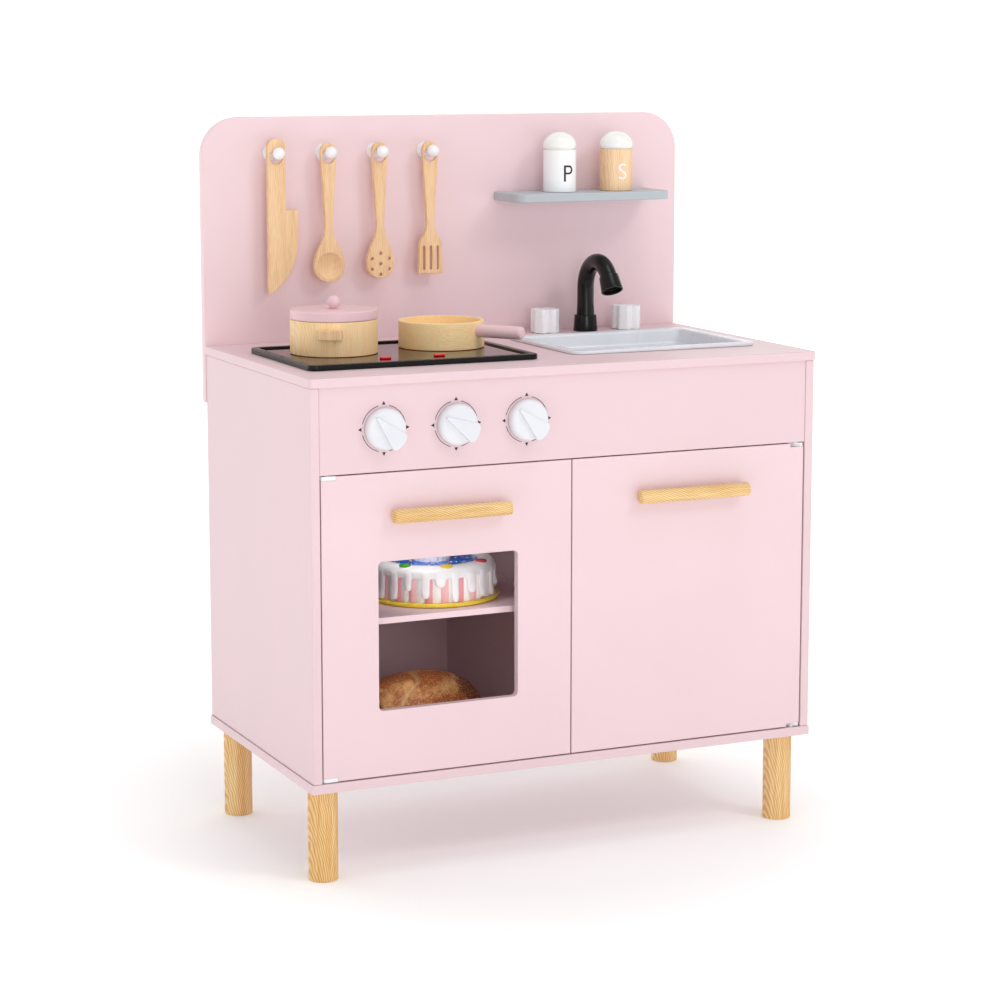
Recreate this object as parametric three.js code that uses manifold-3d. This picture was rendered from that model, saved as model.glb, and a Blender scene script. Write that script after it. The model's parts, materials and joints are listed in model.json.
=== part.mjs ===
// A wooden toy kitchen: an MDF cabinet on four round legs, with an oven and a cupboard behind two
// hinged doors, a hob and a sink in the worktop, and a splashback that carries a shelf and four hooks.
//
// Units are millimetres and +Z is up. While it is built, x = 0 is the middle of the cabinet, y = 0 is
// the front edge of the side panels with +Y towards the wall, and z = 0 is the floor. The last lines
// move the model so that its origin is the bottom centre of its bounding box.

import * as THREE from "three";
import { mergeVertices } from "three/addons/utils/BufferGeometryUtils.js";
import Module from "manifold-3d";

const wasm = await Module();
wasm.setup();

// ---------------------------------------------------------------- driving dimensions
const FIT_GAP = 0.3; // between pieces that are glued, screwed or resting on each other

// cabinet
const CABINET_WIDTH = 600;
const CABINET_DEPTH = 331.5;
const PANEL = 10;
const BACK_PANEL = 4;
const TOP_OVERHANG = 1.5; // worktop, splashback and bottom panel past the side panels
const WORKTOP_NOSE = 2.5; // worktop past the front of the side panels
const WORKTOP_CORNER = 4;
const DOOR_OPENING_HEIGHT = 327.5;
const FASCIA_HEIGHT = 91.5;
const FRONT_RECESS = 1; // fascia and doors behind the front edge of the side panels
const SHELF_THICKNESS = 7;
const SHELF_HEIGHT = 161; // underside of the oven shelf above the bottom panel
const SHELF_SETBACK = 20;

// legs
const LEG_HEIGHT = 102;
const LEG_RADIUS = 16;
const LEG_INSET = 21.5;
const LEG_FRONT_INSET = 31;
const LEG_BACK_INSET = 27.5;
const TENON_RADIUS = 6;
const TENON_LENGTH = 7.5;

// splashback and its shelf
const SPLASH_THICKNESS = 10;
const SPLASH_RISE = 257;
const SPLASH_DROP = 65;
const SPLASH_CORNER = 44;
const WALL_SHELF_WIDTH = 201;
const WALL_SHELF_DEPTH = 70;
const WALL_SHELF_THICKNESS = 10;
const WALL_SHELF_CORNER = 15;
const WALL_SHELF_INSET = 40; // shelf end in from the side of the cabinet
const WALL_SHELF_RISE = 166; // shelf top above the worktop

// doors
const DOOR_THICKNESS = 9;
const DOOR_GAP = 1.1;
const DOOR_SIDE_GAP = 1.5;
const DOOR_EDGE_ROUND = 2.5;
const WINDOW_WIDTH = 161;
const WINDOW_HEIGHT = 160;
const WINDOW_CORNER = 5;
const WINDOW_RISE = 72; // window sill above the bottom panel
const HANDLE_RADIUS = 7.5;
const HANDLE_LENGTH = 135;
const HANDLE_STANDOFF = 3.5;
const HANDLE_DROP = 46.5; // handle axis below the top of the door opening
const HANDLE_SCREW_SPACING = 96;
const SPACER_RADIUS = 5;
const HINGE_LENGTH = 16.5;
const HINGE_HEIGHT = 4.3;
const PIVOT_INSET = 8;
const PIN_RADIUS = 2.3;
const PIN_LENGTH = 7;
const PIN_CLEARANCE = 0.3;
const CATCH_WIDTH = 14;
const CATCH_DEPTH = 22;
const CATCH_HEIGHT = 12;
const CATCH_DROP = 14; // catch top below the top of the door opening
const STRIKE_THICKNESS = 1.2;

// control knobs
const KNOB_NAMES = ["left", "middle", "right"];
const KNOB_INSET = 82; // first knob in from the side of the cabinet
const KNOB_SPACING = 82;
const KNOB_TURNS = [-38, -27, -36]; // degrees, direction of the wide end of the grip
const KNOB_RADIUS = 22;
const KNOB_DISC = 11;
const KNOB_GRIP = 17;
const KNOB_AIR = 0.8;
const SPINDLE_RADIUS = 3.2;
const SPINDLE_CLEARANCE = 0.4;

// hob
const HOB_SIDE_MARGIN = 22;
const HOB_MIDDLE_MARGIN = 12;
const HOB_FRONT = 56;
const HOB_BACK_MARGIN = 84.5;
const HOB_HEIGHT = 6;
const HOB_FLOOR = 4;
const HOB_RIM = 8;
const HOB_CORNER = 9;

// sink, faucet and taps
const SINK_SIDE_MARGIN = 30;
const SINK_MIDDLE_MARGIN = 38;
const SINK_FRONT = 73;
const SINK_BACK_MARGIN = 80.5;
const SINK_FLANGE = 10;
const SINK_FLANGE_HEIGHT = 4;
const SINK_WALL = 2.5;
const SINK_BOWL = 18;
const SINK_CORNER = 12;
const FAUCET_SHIFT = 9; // right of the middle of the sink
const FAUCET_BACK_MARGIN = 34.5;
const COLLAR_RADIUS = 14.5;
const COLLAR_TOP_RADIUS = 13;
const COLLAR_HEIGHT = 19;
const COLLAR_FLOOR = 3; // thickness under the socket that the spout stands in
const SPOUT_RADIUS = 10;
const SPOUT_ARC_RADIUS = 33;
const SPOUT_COLUMN = 51; // column height above the worktop, where the arc starts
const SPOUT_ARC_ANGLE = 150;
const NOZZLE_LENGTH = 17;
const NOZZLE_RADIUS = 13;
const TAP_SPACING = 108;
const TAP_BACK_MARGIN = 35.5;
const TAP_SPAN = 33;
const TAP_LOBE = 15;
const TAP_HEIGHT = 28;
const TAP_CORNER = 4;
const TAP_TURNS = [38, 52]; // degrees
const TAP_AIR = 0.5;

// hooks and the four wooden utensils that hang on them
const HOOK_INSET = 80.5; // first hook in from the side of the cabinet
const HOOK_SPACING = 63;
const HOOK_RISE = 216.5; // peg axis above the worktop
const HOOK_BASE_RADIUS = 9.5;
const HOOK_BASE = 5;
const PEG_RADIUS = 3;
const BALL_RADIUS = 7;
const BALL_REACH = 27.5; // ball centre in front of the splashback
const HOOK_PIN_RADIUS = 2;
const HOOK_PIN = 6;
const UTENSIL_THICKNESS = 6.5;
const UTENSIL_HOLE = 8;
const UTENSIL_AIR = 0.5; // between the ball and the utensil behind it
const SPOON_WIDTH = 37;
const SPOON_LENGTH = 143.5; // below the hanging hole's centre
const SKIMMER_WIDTH = 34;
const SKIMMER_LENGTH = 141;
const BOWL_DROP = 124.5; // centre of the spoon's bowl and of the skimmer's holes below that centre
const BOWL_SPHERE = 26;
const BOWL_DEPTH = 5;
const DRILLING_RADIUS = 1.9;
const DRILLING_RING = 12.2;
const SLOT_WIDTH = 3;
const SLOT_SPACING = 8.5;
const SLOT_TOP = 105.5; // below the turner's hanging hole's centre
const SLOT_BOTTOM = 133.5;

// pot and pan
const POT_INSET = 72; // pot centre in from the left edge of the hob
const POT_SHIFT_BACK = 21.5; // behind the middle of the hob
const POT_RADIUS = 48;
const POT_HEIGHT = 37.5;
const POT_WALL = 5;
const POT_FLOOR = 6;
const LID_THICKNESS = 10.5;
const LID_LIP = 4;
const LID_LIP_CLEARANCE = 0.8;
const LID_KNOB_RADIUS = 7.2;
const EAR_WIDTH = 27;
const EAR_REACH = 8;
const EAR_HEIGHT = 11;
const EAR_RISE = 19;
const EAR_CORNER = 2;
const EAR_TURN = -116; // degrees, direction of the ear nearer the front
const PAN_INSET = 63; // pan centre in from the right edge of the hob
const PAN_SHIFT_BACK = 28.5;
const PAN_RADIUS = 48;
const PAN_HEIGHT = 30;
const PAN_WALL = 4.5;
const PAN_FLOOR = 5;
const PAN_HANDLE_RADIUS = 7.2;
const PAN_HANDLE_LENGTH = 56;
const PAN_HANDLE_RISE = 20;
const PAN_HANDLE_TURN = -54; // degrees, direction of the handle from the middle of the pan

// shakers
const SHAKER_RADIUS = 19.3;
const SHAKER_BODY = 49;
const SHAKER_CAP = 20.5;
const SHAKER_NECK = 2; // plug of the cap that sits inside the body
const SHAKER_SOCKET = 6; // how deep the body is bored for it
const SHAKER_LIP = 4; // wall of the body around the socket
const SHAKER_SKIRT = 3; // straight part of the cap below its dome
const SHAKER_REACH = 34.8; // shaker axis in front of the splashback
const PEPPER_SHIFT = -31.2; // from the middle of the shelf
const SALT_SHIFT = 43.2;

// toy food in the oven
const CAKE_SHIFT = 28.5; // right of the middle of the oven
const CAKE_SETBACK = 13; // plate behind the front edge of the oven shelf
const CAKE_PLATE_RADIUS = 74;
const CAKE_RADIUS = 69.5;
const CAKE_HEIGHT = 43;
const CAKE_TIER_RADIUS = 20.5;
const CAKE_TIER = 18;
const CAKE_ICING_WIDTH = 17;
const CAKE_PLATE = 4;
const CAKE_DIP = 3; // top of the cake below its icing rim
const BREAD_SHIFT = 29.5;
const BREAD_SETBACK = 99; // loaf behind the front edge of the bottom panel
const BREAD_LENGTH = 160;
const BREAD_DEPTH = 100;
const BREAD_HEIGHT = 73;

// smoothness of the round pieces
const ROUND = 28;
const SMALL_ROUND = 12;
const CORNER_STEPS = 3;

// ---------------------------------------------------------------- derived levels and planes
const HALF_WIDTH = CABINET_WIDTH / 2;
const INNER_HALF = HALF_WIDTH - PANEL;
const BOTTOM_TOP = LEG_HEIGHT + PANEL;
const FASCIA_BOTTOM = BOTTOM_TOP + DOOR_OPENING_HEIGHT;
const WORKTOP_BOTTOM = FASCIA_BOTTOM + FASCIA_HEIGHT;
const WORKTOP_TOP = WORKTOP_BOTTOM + PANEL;
const SPLASH_FRONT = CABINET_DEPTH + FIT_GAP;
const SPLASH_BACK = SPLASH_FRONT + SPLASH_THICKNESS;
const BACK_FRONT = CABINET_DEPTH - BACK_PANEL;
const FASCIA_BACK = FRONT_RECESS + PANEL;
const DOOR_BACK = FRONT_RECESS + DOOR_THICKNESS;
const DOOR_LOW = BOTTOM_TOP + DOOR_GAP;
const DOOR_HIGH = FASCIA_BOTTOM - DOOR_GAP;
const DOOR_OUTER = INNER_HALF - DOOR_SIDE_GAP;
const DOOR_INNER = DOOR_SIDE_GAP / 2;
const PIVOT_X = DOOR_OUTER - PIVOT_INSET;
const PIVOT_Y = FRONT_RECESS + DOOR_THICKNESS / 2;
const HANDLE_Y = FRONT_RECESS - HANDLE_STANDOFF - HANDLE_RADIUS;
const HANDLE_Z = FASCIA_BOTTOM - HANDLE_DROP;
const HOOK_Z = WORKTOP_TOP + HOOK_RISE;
const BALL_Y = SPLASH_FRONT - BALL_REACH;
const UTENSIL_FRONT = BALL_Y + BALL_RADIUS + UTENSIL_AIR;
const UTENSIL_HOLE_Z = HOOK_Z + PEG_RADIUS + FIT_GAP - UTENSIL_HOLE;
const WALL_SHELF_TOP = WORKTOP_TOP + WALL_SHELF_RISE;
const WALL_SHELF_X = HALF_WIDTH - WALL_SHELF_INSET - WALL_SHELF_WIDTH / 2;
const HOB_WIDTH = HALF_WIDTH - HOB_SIDE_MARGIN - HOB_MIDDLE_MARGIN;
const HOB_DEPTH = CABINET_DEPTH - HOB_FRONT - HOB_BACK_MARGIN;
const HOB_LEFT = HOB_SIDE_MARGIN - HALF_WIDTH;
const HOB_X = HOB_LEFT + HOB_WIDTH / 2;
const HOB_MIDDLE_Y = HOB_FRONT + HOB_DEPTH / 2;
const SINK_WIDTH = HALF_WIDTH - SINK_SIDE_MARGIN - SINK_MIDDLE_MARGIN;
const SINK_DEPTH = CABINET_DEPTH - SINK_FRONT - SINK_BACK_MARGIN;
const SINK_X = SINK_MIDDLE_MARGIN + SINK_WIDTH / 2;
const FAUCET_X = SINK_X + FAUCET_SHIFT;
const FAUCET_Y = CABINET_DEPTH - FAUCET_BACK_MARGIN;
const TAP_Y = CABINET_DEPTH - TAP_BACK_MARGIN;
const POT_X = HOB_LEFT + POT_INSET;
const POT_Y = HOB_MIDDLE_Y + POT_SHIFT_BACK;
const PAN_X = HOB_LEFT + HOB_WIDTH - PAN_INSET;
const PAN_Y = HOB_MIDDLE_Y + PAN_SHIFT_BACK;
const OVEN_MIDDLE_X = -(INNER_HALF + PANEL / 2) / 2;
const KNOB_Z = FASCIA_BOTTOM + FASCIA_HEIGHT / 2 - FIT_GAP;
const HOB_SURFACE = WORKTOP_TOP + FIT_GAP + HOB_FLOOR;
const COOK_Z = HOB_SURFACE + FIT_GAP;
const OVEN_SHELF_BOTTOM = BOTTOM_TOP + SHELF_HEIGHT;
const SPINDLE_HOLE = SPINDLE_RADIUS + SPINDLE_CLEARANCE;
const FRONTMOST = HANDLE_Y - HANDLE_RADIUS;

// ---------------------------------------------------------------- materials
const finish = (color, roughness, metalness = 0) =>
  new THREE.MeshStandardMaterial({ color, roughness, metalness });
const pink = finish(0xf3d5da, 0.5);
const beech = finish(0xe8c493, 0.55);
const ash = finish(0xe3b878, 0.55);
const white = finish(0xf2f3f6, 0.3);
const grey = finish(0xc3ccd0, 0.5);
const black = finish(0x1c1c1d, 0.3);
const glossBlack = finish(0x2a2224, 0.1);
const steel = finish(0xb9bcc0, 0.35, 0.9);
const icing = finish(0xf6f4f2, 0.35);
const crust = finish(0xb87543, 0.7);

// ---------------------------------------------------------------- solid helpers
// A three.js geometry as a manifold-3d solid, and back.
function solidOf(geometry) {
  const bare = geometry.index ? geometry.toNonIndexed() : geometry.clone();
  bare.deleteAttribute("normal");
  bare.deleteAttribute("uv");
  const merged = mergeVertices(bare, 1e-4);
  const vertProperties = new Float32Array(merged.attributes.position.array);
  const triVerts = new Uint32Array(merged.index.array);
  return new wasm.Manifold(new wasm.Mesh({ numProp: 3, vertProperties, triVerts }));
}

function geometryOf(solid) {
  const { numProp, vertProperties, triVerts } = solid.getMesh();
  const position = new Float32Array((vertProperties.length / numProp) * 3);
  for (let i = 0; i < position.length / 3; i++) {
    position.set(vertProperties.subarray(i * numProp, i * numProp + 3), i * 3);
  }
  const geometry = new THREE.BufferGeometry();
  geometry.setAttribute("position", new THREE.BufferAttribute(position, 3));
  geometry.setIndex(new THREE.BufferAttribute(new Uint32Array(triVerts), 1));
  geometry.computeVertexNormals();
  return geometry;
}

function cut(geometry, ...tools) {
  const left = tools.reduce((body, tool) => body.subtract(solidOf(tool)), solidOf(geometry));
  return geometryOf(left);
}

function join(...geometries) {
  return geometryOf(geometries.map(solidOf).reduce((a, b) => a.add(b)));
}

// A box between two corners.
function slab([x0, x1], [y0, y1], [z0, z1]) {
  const box = new THREE.BoxGeometry(x1 - x0, y1 - y0, z1 - z0);
  return box.translate((x0 + x1) / 2, (y0 + y1) / 2, (z0 + z1) / 2);
}

// A rectangle whose four corners have their own radii: low-left, low-right, high-right, high-left.
function roundedRectangle([x0, x1], [y0, y1], [lowLeft, lowRight, highRight, highLeft]) {
  const shape = new THREE.Shape();
  const corner = (x, y, radius, start) => {
    if (radius > 0) shape.absarc(x, y, radius, start, start + Math.PI / 2, false);
    else if (shape.curves.length || shape.currentPoint.length()) shape.lineTo(x, y);
    else shape.moveTo(x, y);
  };
  corner(x0 + lowLeft, y0 + lowLeft, lowLeft, Math.PI);
  corner(x1 - lowRight, y0 + lowRight, lowRight, Math.PI * 1.5);
  corner(x1 - highRight, y1 - highRight, highRight, 0);
  corner(x0 + highLeft, y1 - highLeft, highLeft, Math.PI / 2);
  shape.closePath();
  return shape;
}

// An outline in plan, standing between two levels.
function standing(shape, [z0, z1]) {
  const options = { depth: z1 - z0, bevelEnabled: false, curveSegments: CORNER_STEPS };
  return new THREE.ExtrudeGeometry(shape, options).translate(0, 0, z0);
}

// An outline drawn in x and z, as thick as the stretch of y.
function upright(shape, [y0, y1]) {
  const options = { depth: y1 - y0, bevelEnabled: false, curveSegments: CORNER_STEPS };
  return new THREE.ExtrudeGeometry(shape, options).rotateX(Math.PI / 2).translate(0, y1, 0);
}

// A turned solid about +Z from [radius, height] points that start and end on the axis.
function turned(profile, segments = ROUND) {
  const points = profile.map(([radius, height]) => new THREE.Vector2(radius, height));
  return new THREE.LatheGeometry(points, segments).rotateX(Math.PI / 2);
}

// A cylinder about +Z that stands on the origin.
const rod = (radius, length, segments = SMALL_ROUND) =>
  new THREE.CylinderGeometry(radius, radius, length, segments)
    .rotateX(Math.PI / 2)
    .translate(0, 0, length / 2);

// Turns a geometry's +Z towards the front of the kitchen, keeping its +Y up.
const facingFront = (geometry) => geometry.rotateX(Math.PI / 2);

const assembly = new THREE.Group();
function place(name, geometry, material, [x, y, z] = [0, 0, 0]) {
  const mesh = new THREE.Mesh(geometry, material);
  mesh.name = name;
  mesh.position.set(x, y, z);
  assembly.add(mesh);
  return mesh;
}

const degrees = THREE.MathUtils.degToRad;
const sides = [
  ["left", -1],
  ["right", 1],
];
const legSpots = [
  ["front_left", -1, LEG_FRONT_INSET],
  ["front_right", 1, LEG_FRONT_INSET],
  ["back_left", -1, CABINET_DEPTH - LEG_BACK_INSET],
  ["back_right", 1, CABINET_DEPTH - LEG_BACK_INSET],
];
const legX = (side) => side * (HALF_WIDTH - LEG_INSET);

// ---------------------------------------------------------------- cabinet
function makeWorktop() {
  const outline = standing(
    roundedRectangle(
      [-HALF_WIDTH - TOP_OVERHANG, HALF_WIDTH + TOP_OVERHANG],
      [-WORKTOP_NOSE, CABINET_DEPTH],
      [WORKTOP_CORNER, WORKTOP_CORNER, 0, 0],
    ),
    [WORKTOP_BOTTOM, WORKTOP_TOP],
  );
  const sinkHole = standing(sinkOutline(SINK_FLANGE - FIT_GAP), [WORKTOP_BOTTOM - 1, WORKTOP_TOP + 1]);
  const tapHoles = sides.map(([, side]) =>
    rod(SPINDLE_HOLE, PANEL + 2).translate(tapX(side), TAP_Y, WORKTOP_BOTTOM - 1),
  );
  place("worktop", cut(outline, sinkHole, ...tapHoles), pink);
}

function makeSidePanels() {
  for (const [name, side] of sides) {
    const inner = side * INNER_HALF;
    const outer = side * HALF_WIDTH;
    const across = [Math.min(inner, outer), Math.max(inner, outer)];
    const up = [BOTTOM_TOP + FIT_GAP, WORKTOP_BOTTOM - FIT_GAP];
    place("side_panel_" + name, slab(across, [0, CABINET_DEPTH], up), pink);
  }
}

function makeBottomPanel() {
  const reach = HALF_WIDTH + TOP_OVERHANG;
  const panel = slab([-reach, reach], [0, CABINET_DEPTH], [LEG_HEIGHT, BOTTOM_TOP]);
  const tenonHoles = legSpots.map(([, side, y]) =>
    rod(TENON_RADIUS + FIT_GAP, TENON_LENGTH + FIT_GAP + 1).translate(legX(side), y, LEG_HEIGHT - 1),
  );
  const pinHoles = sides.map(([, side]) =>
    rod(PIN_RADIUS + PIN_CLEARANCE, PIN_LENGTH + 1).translate(
      side * PIVOT_X,
      PIVOT_Y,
      BOTTOM_TOP - PIN_LENGTH,
    ),
  );
  place("bottom_panel", cut(panel, ...tenonHoles, ...pinHoles), pink);
}

function makeInnerPanels() {
  const up = [BOTTOM_TOP + FIT_GAP, WORKTOP_BOTTOM - FIT_GAP];
  const span = INNER_HALF - FIT_GAP;
  const half = PANEL / 2;
  place("cabinet_back", slab([-span, span], [BACK_FRONT, CABINET_DEPTH], up), pink);
  place("divider_panel", slab([-half, half], [FASCIA_BACK + FIT_GAP, BACK_FRONT - FIT_GAP], up), pink);
  const shelf = slab(
    [-span, -half - FIT_GAP],
    [SHELF_SETBACK, BACK_FRONT - FIT_GAP],
    [OVEN_SHELF_BOTTOM, OVEN_SHELF_BOTTOM + SHELF_THICKNESS],
  );
  place("oven_shelf", shelf, pink);
}

function makeFascia() {
  const span = INNER_HALF - FIT_GAP;
  const panel = slab([-span, span], [FRONT_RECESS, FASCIA_BACK], [FASCIA_BOTTOM, WORKTOP_BOTTOM - FIT_GAP]);
  const spindleHoles = KNOB_NAMES.map((_, i) =>
    facingFront(rod(SPINDLE_HOLE, PANEL + 2)).translate(knobX(i), FASCIA_BACK + 1, KNOB_Z),
  );
  const pinHoles = sides.map(([, side]) =>
    rod(PIN_RADIUS + PIN_CLEARANCE, PIN_LENGTH + 1).translate(side * PIVOT_X, PIVOT_Y, FASCIA_BOTTOM - 1),
  );
  place("fascia_panel", cut(panel, ...spindleHoles, ...pinHoles), pink);
}

function makeLegs() {
  const chamfer = 1.5;
  const top = LEG_HEIGHT - FIT_GAP;
  const profile = [
    [0, 0],
    [LEG_RADIUS - chamfer, 0],
    [LEG_RADIUS, chamfer],
    [LEG_RADIUS, top],
    [TENON_RADIUS, top],
    [TENON_RADIUS, LEG_HEIGHT + TENON_LENGTH - 1],
    [0, LEG_HEIGHT + TENON_LENGTH - 1],
  ];
  for (const [name, side, y] of legSpots) {
    place("leg_" + name, turned(profile, SMALL_ROUND * 2), ash, [legX(side), y, 0]);
  }
}

// ---------------------------------------------------------------- splashback
function hookX(index) {
  return HOOK_INSET - HALF_WIDTH + index * HOOK_SPACING;
}

function makeSplashback() {
  const reach = HALF_WIDTH + TOP_OVERHANG;
  const outline = roundedRectangle(
    [-reach, reach],
    [WORKTOP_TOP - SPLASH_DROP, WORKTOP_TOP + SPLASH_RISE],
    [0, 0, SPLASH_CORNER, SPLASH_CORNER],
  );
  const board = upright(outline, [SPLASH_FRONT, SPLASH_BACK]);
  const pinHoles = [0, 1, 2, 3].map((i) =>
    facingFront(rod(HOOK_PIN_RADIUS + FIT_GAP, HOOK_PIN + 2)).translate(
      hookX(i),
      SPLASH_FRONT + HOOK_PIN + 1,
      HOOK_Z,
    ),
  );
  place("splashback", cut(board, ...pinHoles), pink);
}

function makeWallShelf() {
  const half = WALL_SHELF_WIDTH / 2;
  const outline = roundedRectangle(
    [WALL_SHELF_X - half, WALL_SHELF_X + half],
    [SPLASH_FRONT - FIT_GAP - WALL_SHELF_DEPTH, SPLASH_FRONT - FIT_GAP],
    [WALL_SHELF_CORNER, WALL_SHELF_CORNER, 0, 0],
  );
  place("wall_shelf", standing(outline, [WALL_SHELF_TOP - WALL_SHELF_THICKNESS, WALL_SHELF_TOP]), grey);
}

function makeHooks() {
  const ballStart = BALL_REACH - Math.sqrt(BALL_RADIUS ** 2 - PEG_RADIUS ** 2);
  const from = Math.asin(PEG_RADIUS / BALL_RADIUS);
  const ball = [];
  for (let i = 0; i <= 5; i++) {
    const angle = from + ((Math.PI - from) * i) / 5;
    ball.push([BALL_RADIUS * Math.sin(angle), BALL_REACH - BALL_RADIUS * Math.cos(angle)]);
  }
  ball[ball.length - 1][0] = 0;
  const profile = [
    [0, -HOOK_PIN],
    [HOOK_PIN_RADIUS, -HOOK_PIN],
    [HOOK_PIN_RADIUS, FIT_GAP],
    [HOOK_BASE_RADIUS, FIT_GAP],
    [HOOK_BASE_RADIUS, HOOK_BASE - 2],
    [HOOK_BASE_RADIUS - 3, HOOK_BASE],
    [PEG_RADIUS, HOOK_BASE],
    [PEG_RADIUS, ballStart - 0.5],
    ...ball,
  ];
  for (let i = 0; i < 4; i++) {
    const hook = facingFront(turned(profile, SMALL_ROUND));
    place("hook_" + (i + 1), hook, white, [hookX(i), SPLASH_FRONT, HOOK_Z]);
  }
}

// ---------------------------------------------------------------- doors
// A door's plan between its outer and inner edge; the outer front edge is rounded for the hinge.
function doorPlan(side, outer, inner) {
  const across = side < 0 ? [-outer, -inner] : [inner, outer];
  const rounds = side < 0 ? [DOOR_EDGE_ROUND, 0, 0, 0] : [0, DOOR_EDGE_ROUND, 0, 0];
  return roundedRectangle(across, [FRONT_RECESS, DOOR_BACK], rounds);
}

function hingeNotch(side, [z0, z1]) {
  const inner = side * (DOOR_OUTER - HINGE_LENGTH - FIT_GAP);
  const outer = side * (DOOR_OUTER + 1);
  const across = [Math.min(inner, outer), Math.max(inner, outer)];
  return slab(across, [FRONT_RECESS - 1, DOOR_BACK + 1], [z0, z1]);
}

function makeDoors() {
  const depth = HINGE_HEIGHT + FIT_GAP;
  for (const [name, side] of [
    ["oven_door", -1],
    ["cupboard_door", 1],
  ]) {
    const leaf = standing(doorPlan(side, DOOR_OUTER, DOOR_INNER), [DOOR_LOW, DOOR_HIGH]);
    const tools = [
      hingeNotch(side, [DOOR_LOW - 1, DOOR_LOW + depth]),
      hingeNotch(side, [DOOR_HIGH - depth, DOOR_HIGH + 1]),
    ];
    if (side < 0) tools.push(windowTool());
    place(name, cut(leaf, ...tools), pink);
    makeHinges(name, side);
    makeHandle(name, side);
    makeCatch(name, side);
  }
}

function windowTool() {
  const centre = -(DOOR_OUTER + DOOR_INNER) / 2;
  const sill = BOTTOM_TOP + WINDOW_RISE;
  const outline = roundedRectangle(
    [centre - WINDOW_WIDTH / 2, centre + WINDOW_WIDTH / 2],
    [sill, sill + WINDOW_HEIGHT],
    Array(4).fill(WINDOW_CORNER),
  );
  return upright(outline, [FRONT_RECESS - 1, DOOR_BACK + 1]);
}

// Each door turns on two plastic corner blocks whose pins stand in the fascia and the bottom panel.
function makeHinges(door, side) {
  const plan = doorPlan(side, DOOR_OUTER, DOOR_OUTER - HINGE_LENGTH);
  const reach = PIN_LENGTH + DOOR_GAP - 1;
  const low = join(
    standing(plan, [DOOR_LOW, DOOR_LOW + HINGE_HEIGHT]),
    rod(PIN_RADIUS, reach + 1).translate(side * PIVOT_X, PIVOT_Y, DOOR_LOW - reach),
  );
  const high = join(
    standing(plan, [DOOR_HIGH - HINGE_HEIGHT, DOOR_HIGH]),
    rod(PIN_RADIUS, reach + 1).translate(side * PIVOT_X, PIVOT_Y, DOOR_HIGH - 1),
  );
  place(door + "_hinge_low", low, white);
  place(door + "_hinge_high", high, white);
}

function makeHandle(door, side) {
  const centre = (side * (DOOR_OUTER + DOOR_INNER)) / 2;
  const chamfer = 1.5;
  const half = HANDLE_LENGTH / 2;
  const profile = [
    [0, -half],
    [HANDLE_RADIUS - chamfer, -half],
    [HANDLE_RADIUS, chamfer - half],
    [HANDLE_RADIUS, half - chamfer],
    [HANDLE_RADIUS - chamfer, half],
    [0, half],
  ];
  const bar = turned(profile, SMALL_ROUND).rotateY(Math.PI / 2);
  place(door + "_handle", bar, ash, [centre, HANDLE_Y, HANDLE_Z]);
  for (const [name, end] of sides) {
    const x = centre + (end * HANDLE_SCREW_SPACING) / 2;
    const post = facingFront(rod(SPACER_RADIUS, HANDLE_STANDOFF + HANDLE_RADIUS / 2));
    const clear = rod(HANDLE_RADIUS + FIT_GAP, 4 * SPACER_RADIUS).rotateY(Math.PI / 2);
    clear.translate(-2 * SPACER_RADIUS, HANDLE_Y - FRONT_RECESS + FIT_GAP, 0);
    const spot = [x, FRONT_RECESS - FIT_GAP, HANDLE_Z];
    place(door + "_handle_spacer_" + name, cut(post, clear), white, spot);
  }
}

// A magnetic catch on the divider holds each door's steel strike plate.
function makeCatch(door, side) {
  const start = PANEL / 2 + FIT_GAP;
  const across = side < 0 ? [-start - CATCH_WIDTH, -start] : [start, start + CATCH_WIDTH];
  const top = FASCIA_BOTTOM - CATCH_DROP;
  const up = [top - CATCH_HEIGHT, top];
  const front = DOOR_BACK + STRIKE_THICKNESS + 2 * FIT_GAP;
  place(door + "_catch", slab(across, [front, front + CATCH_DEPTH], up), white);
  const strike = [DOOR_BACK + FIT_GAP, DOOR_BACK + FIT_GAP + STRIKE_THICKNESS];
  place(door + "_strike", slab(across, strike, up), steel);
}

// ---------------------------------------------------------------- control knobs
function knobX(index) {
  return KNOB_INSET - HALF_WIDTH + index * KNOB_SPACING;
}

// A domed disc with a wedge grip: narrow at one side, and past the rim at its wide end.
function makeKnobs() {
  const disc = turned([
    [0, 0],
    [KNOB_RADIUS - 1, 0],
    [KNOB_RADIUS, 1],
    [KNOB_RADIUS, KNOB_DISC * 0.55],
    [KNOB_RADIUS - 2, KNOB_DISC * 0.82],
    [KNOB_RADIUS - 7, KNOB_DISC],
    [0, KNOB_DISC + 1],
  ]);
  const grip = new THREE.Shape();
  grip.moveTo(-KNOB_RADIUS * 0.82, -1.5);
  grip.lineTo(KNOB_RADIUS * 0.78, -KNOB_RADIUS / 2);
  grip.quadraticCurveTo(KNOB_RADIUS * 1.08, -KNOB_RADIUS * 0.45, KNOB_RADIUS * 1.06, 0);
  grip.quadraticCurveTo(KNOB_RADIUS * 1.08, KNOB_RADIUS * 0.45, KNOB_RADIUS * 0.78, KNOB_RADIUS / 2);
  grip.lineTo(-KNOB_RADIUS * 0.82, 1.5);
  grip.closePath();
  const spindle = rod(SPINDLE_RADIUS, PANEL + 1).translate(0, 0, -PANEL);
  KNOB_NAMES.forEach((name, i) => {
    const knob = join(disc, standing(grip, [2, KNOB_GRIP - KNOB_AIR]), spindle);
    knob.rotateZ(degrees(KNOB_TURNS[i]));
    place("control_knob_" + name, facingFront(knob), white, [knobX(i), FRONT_RECESS - KNOB_AIR, KNOB_Z]);
  });
}

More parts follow.
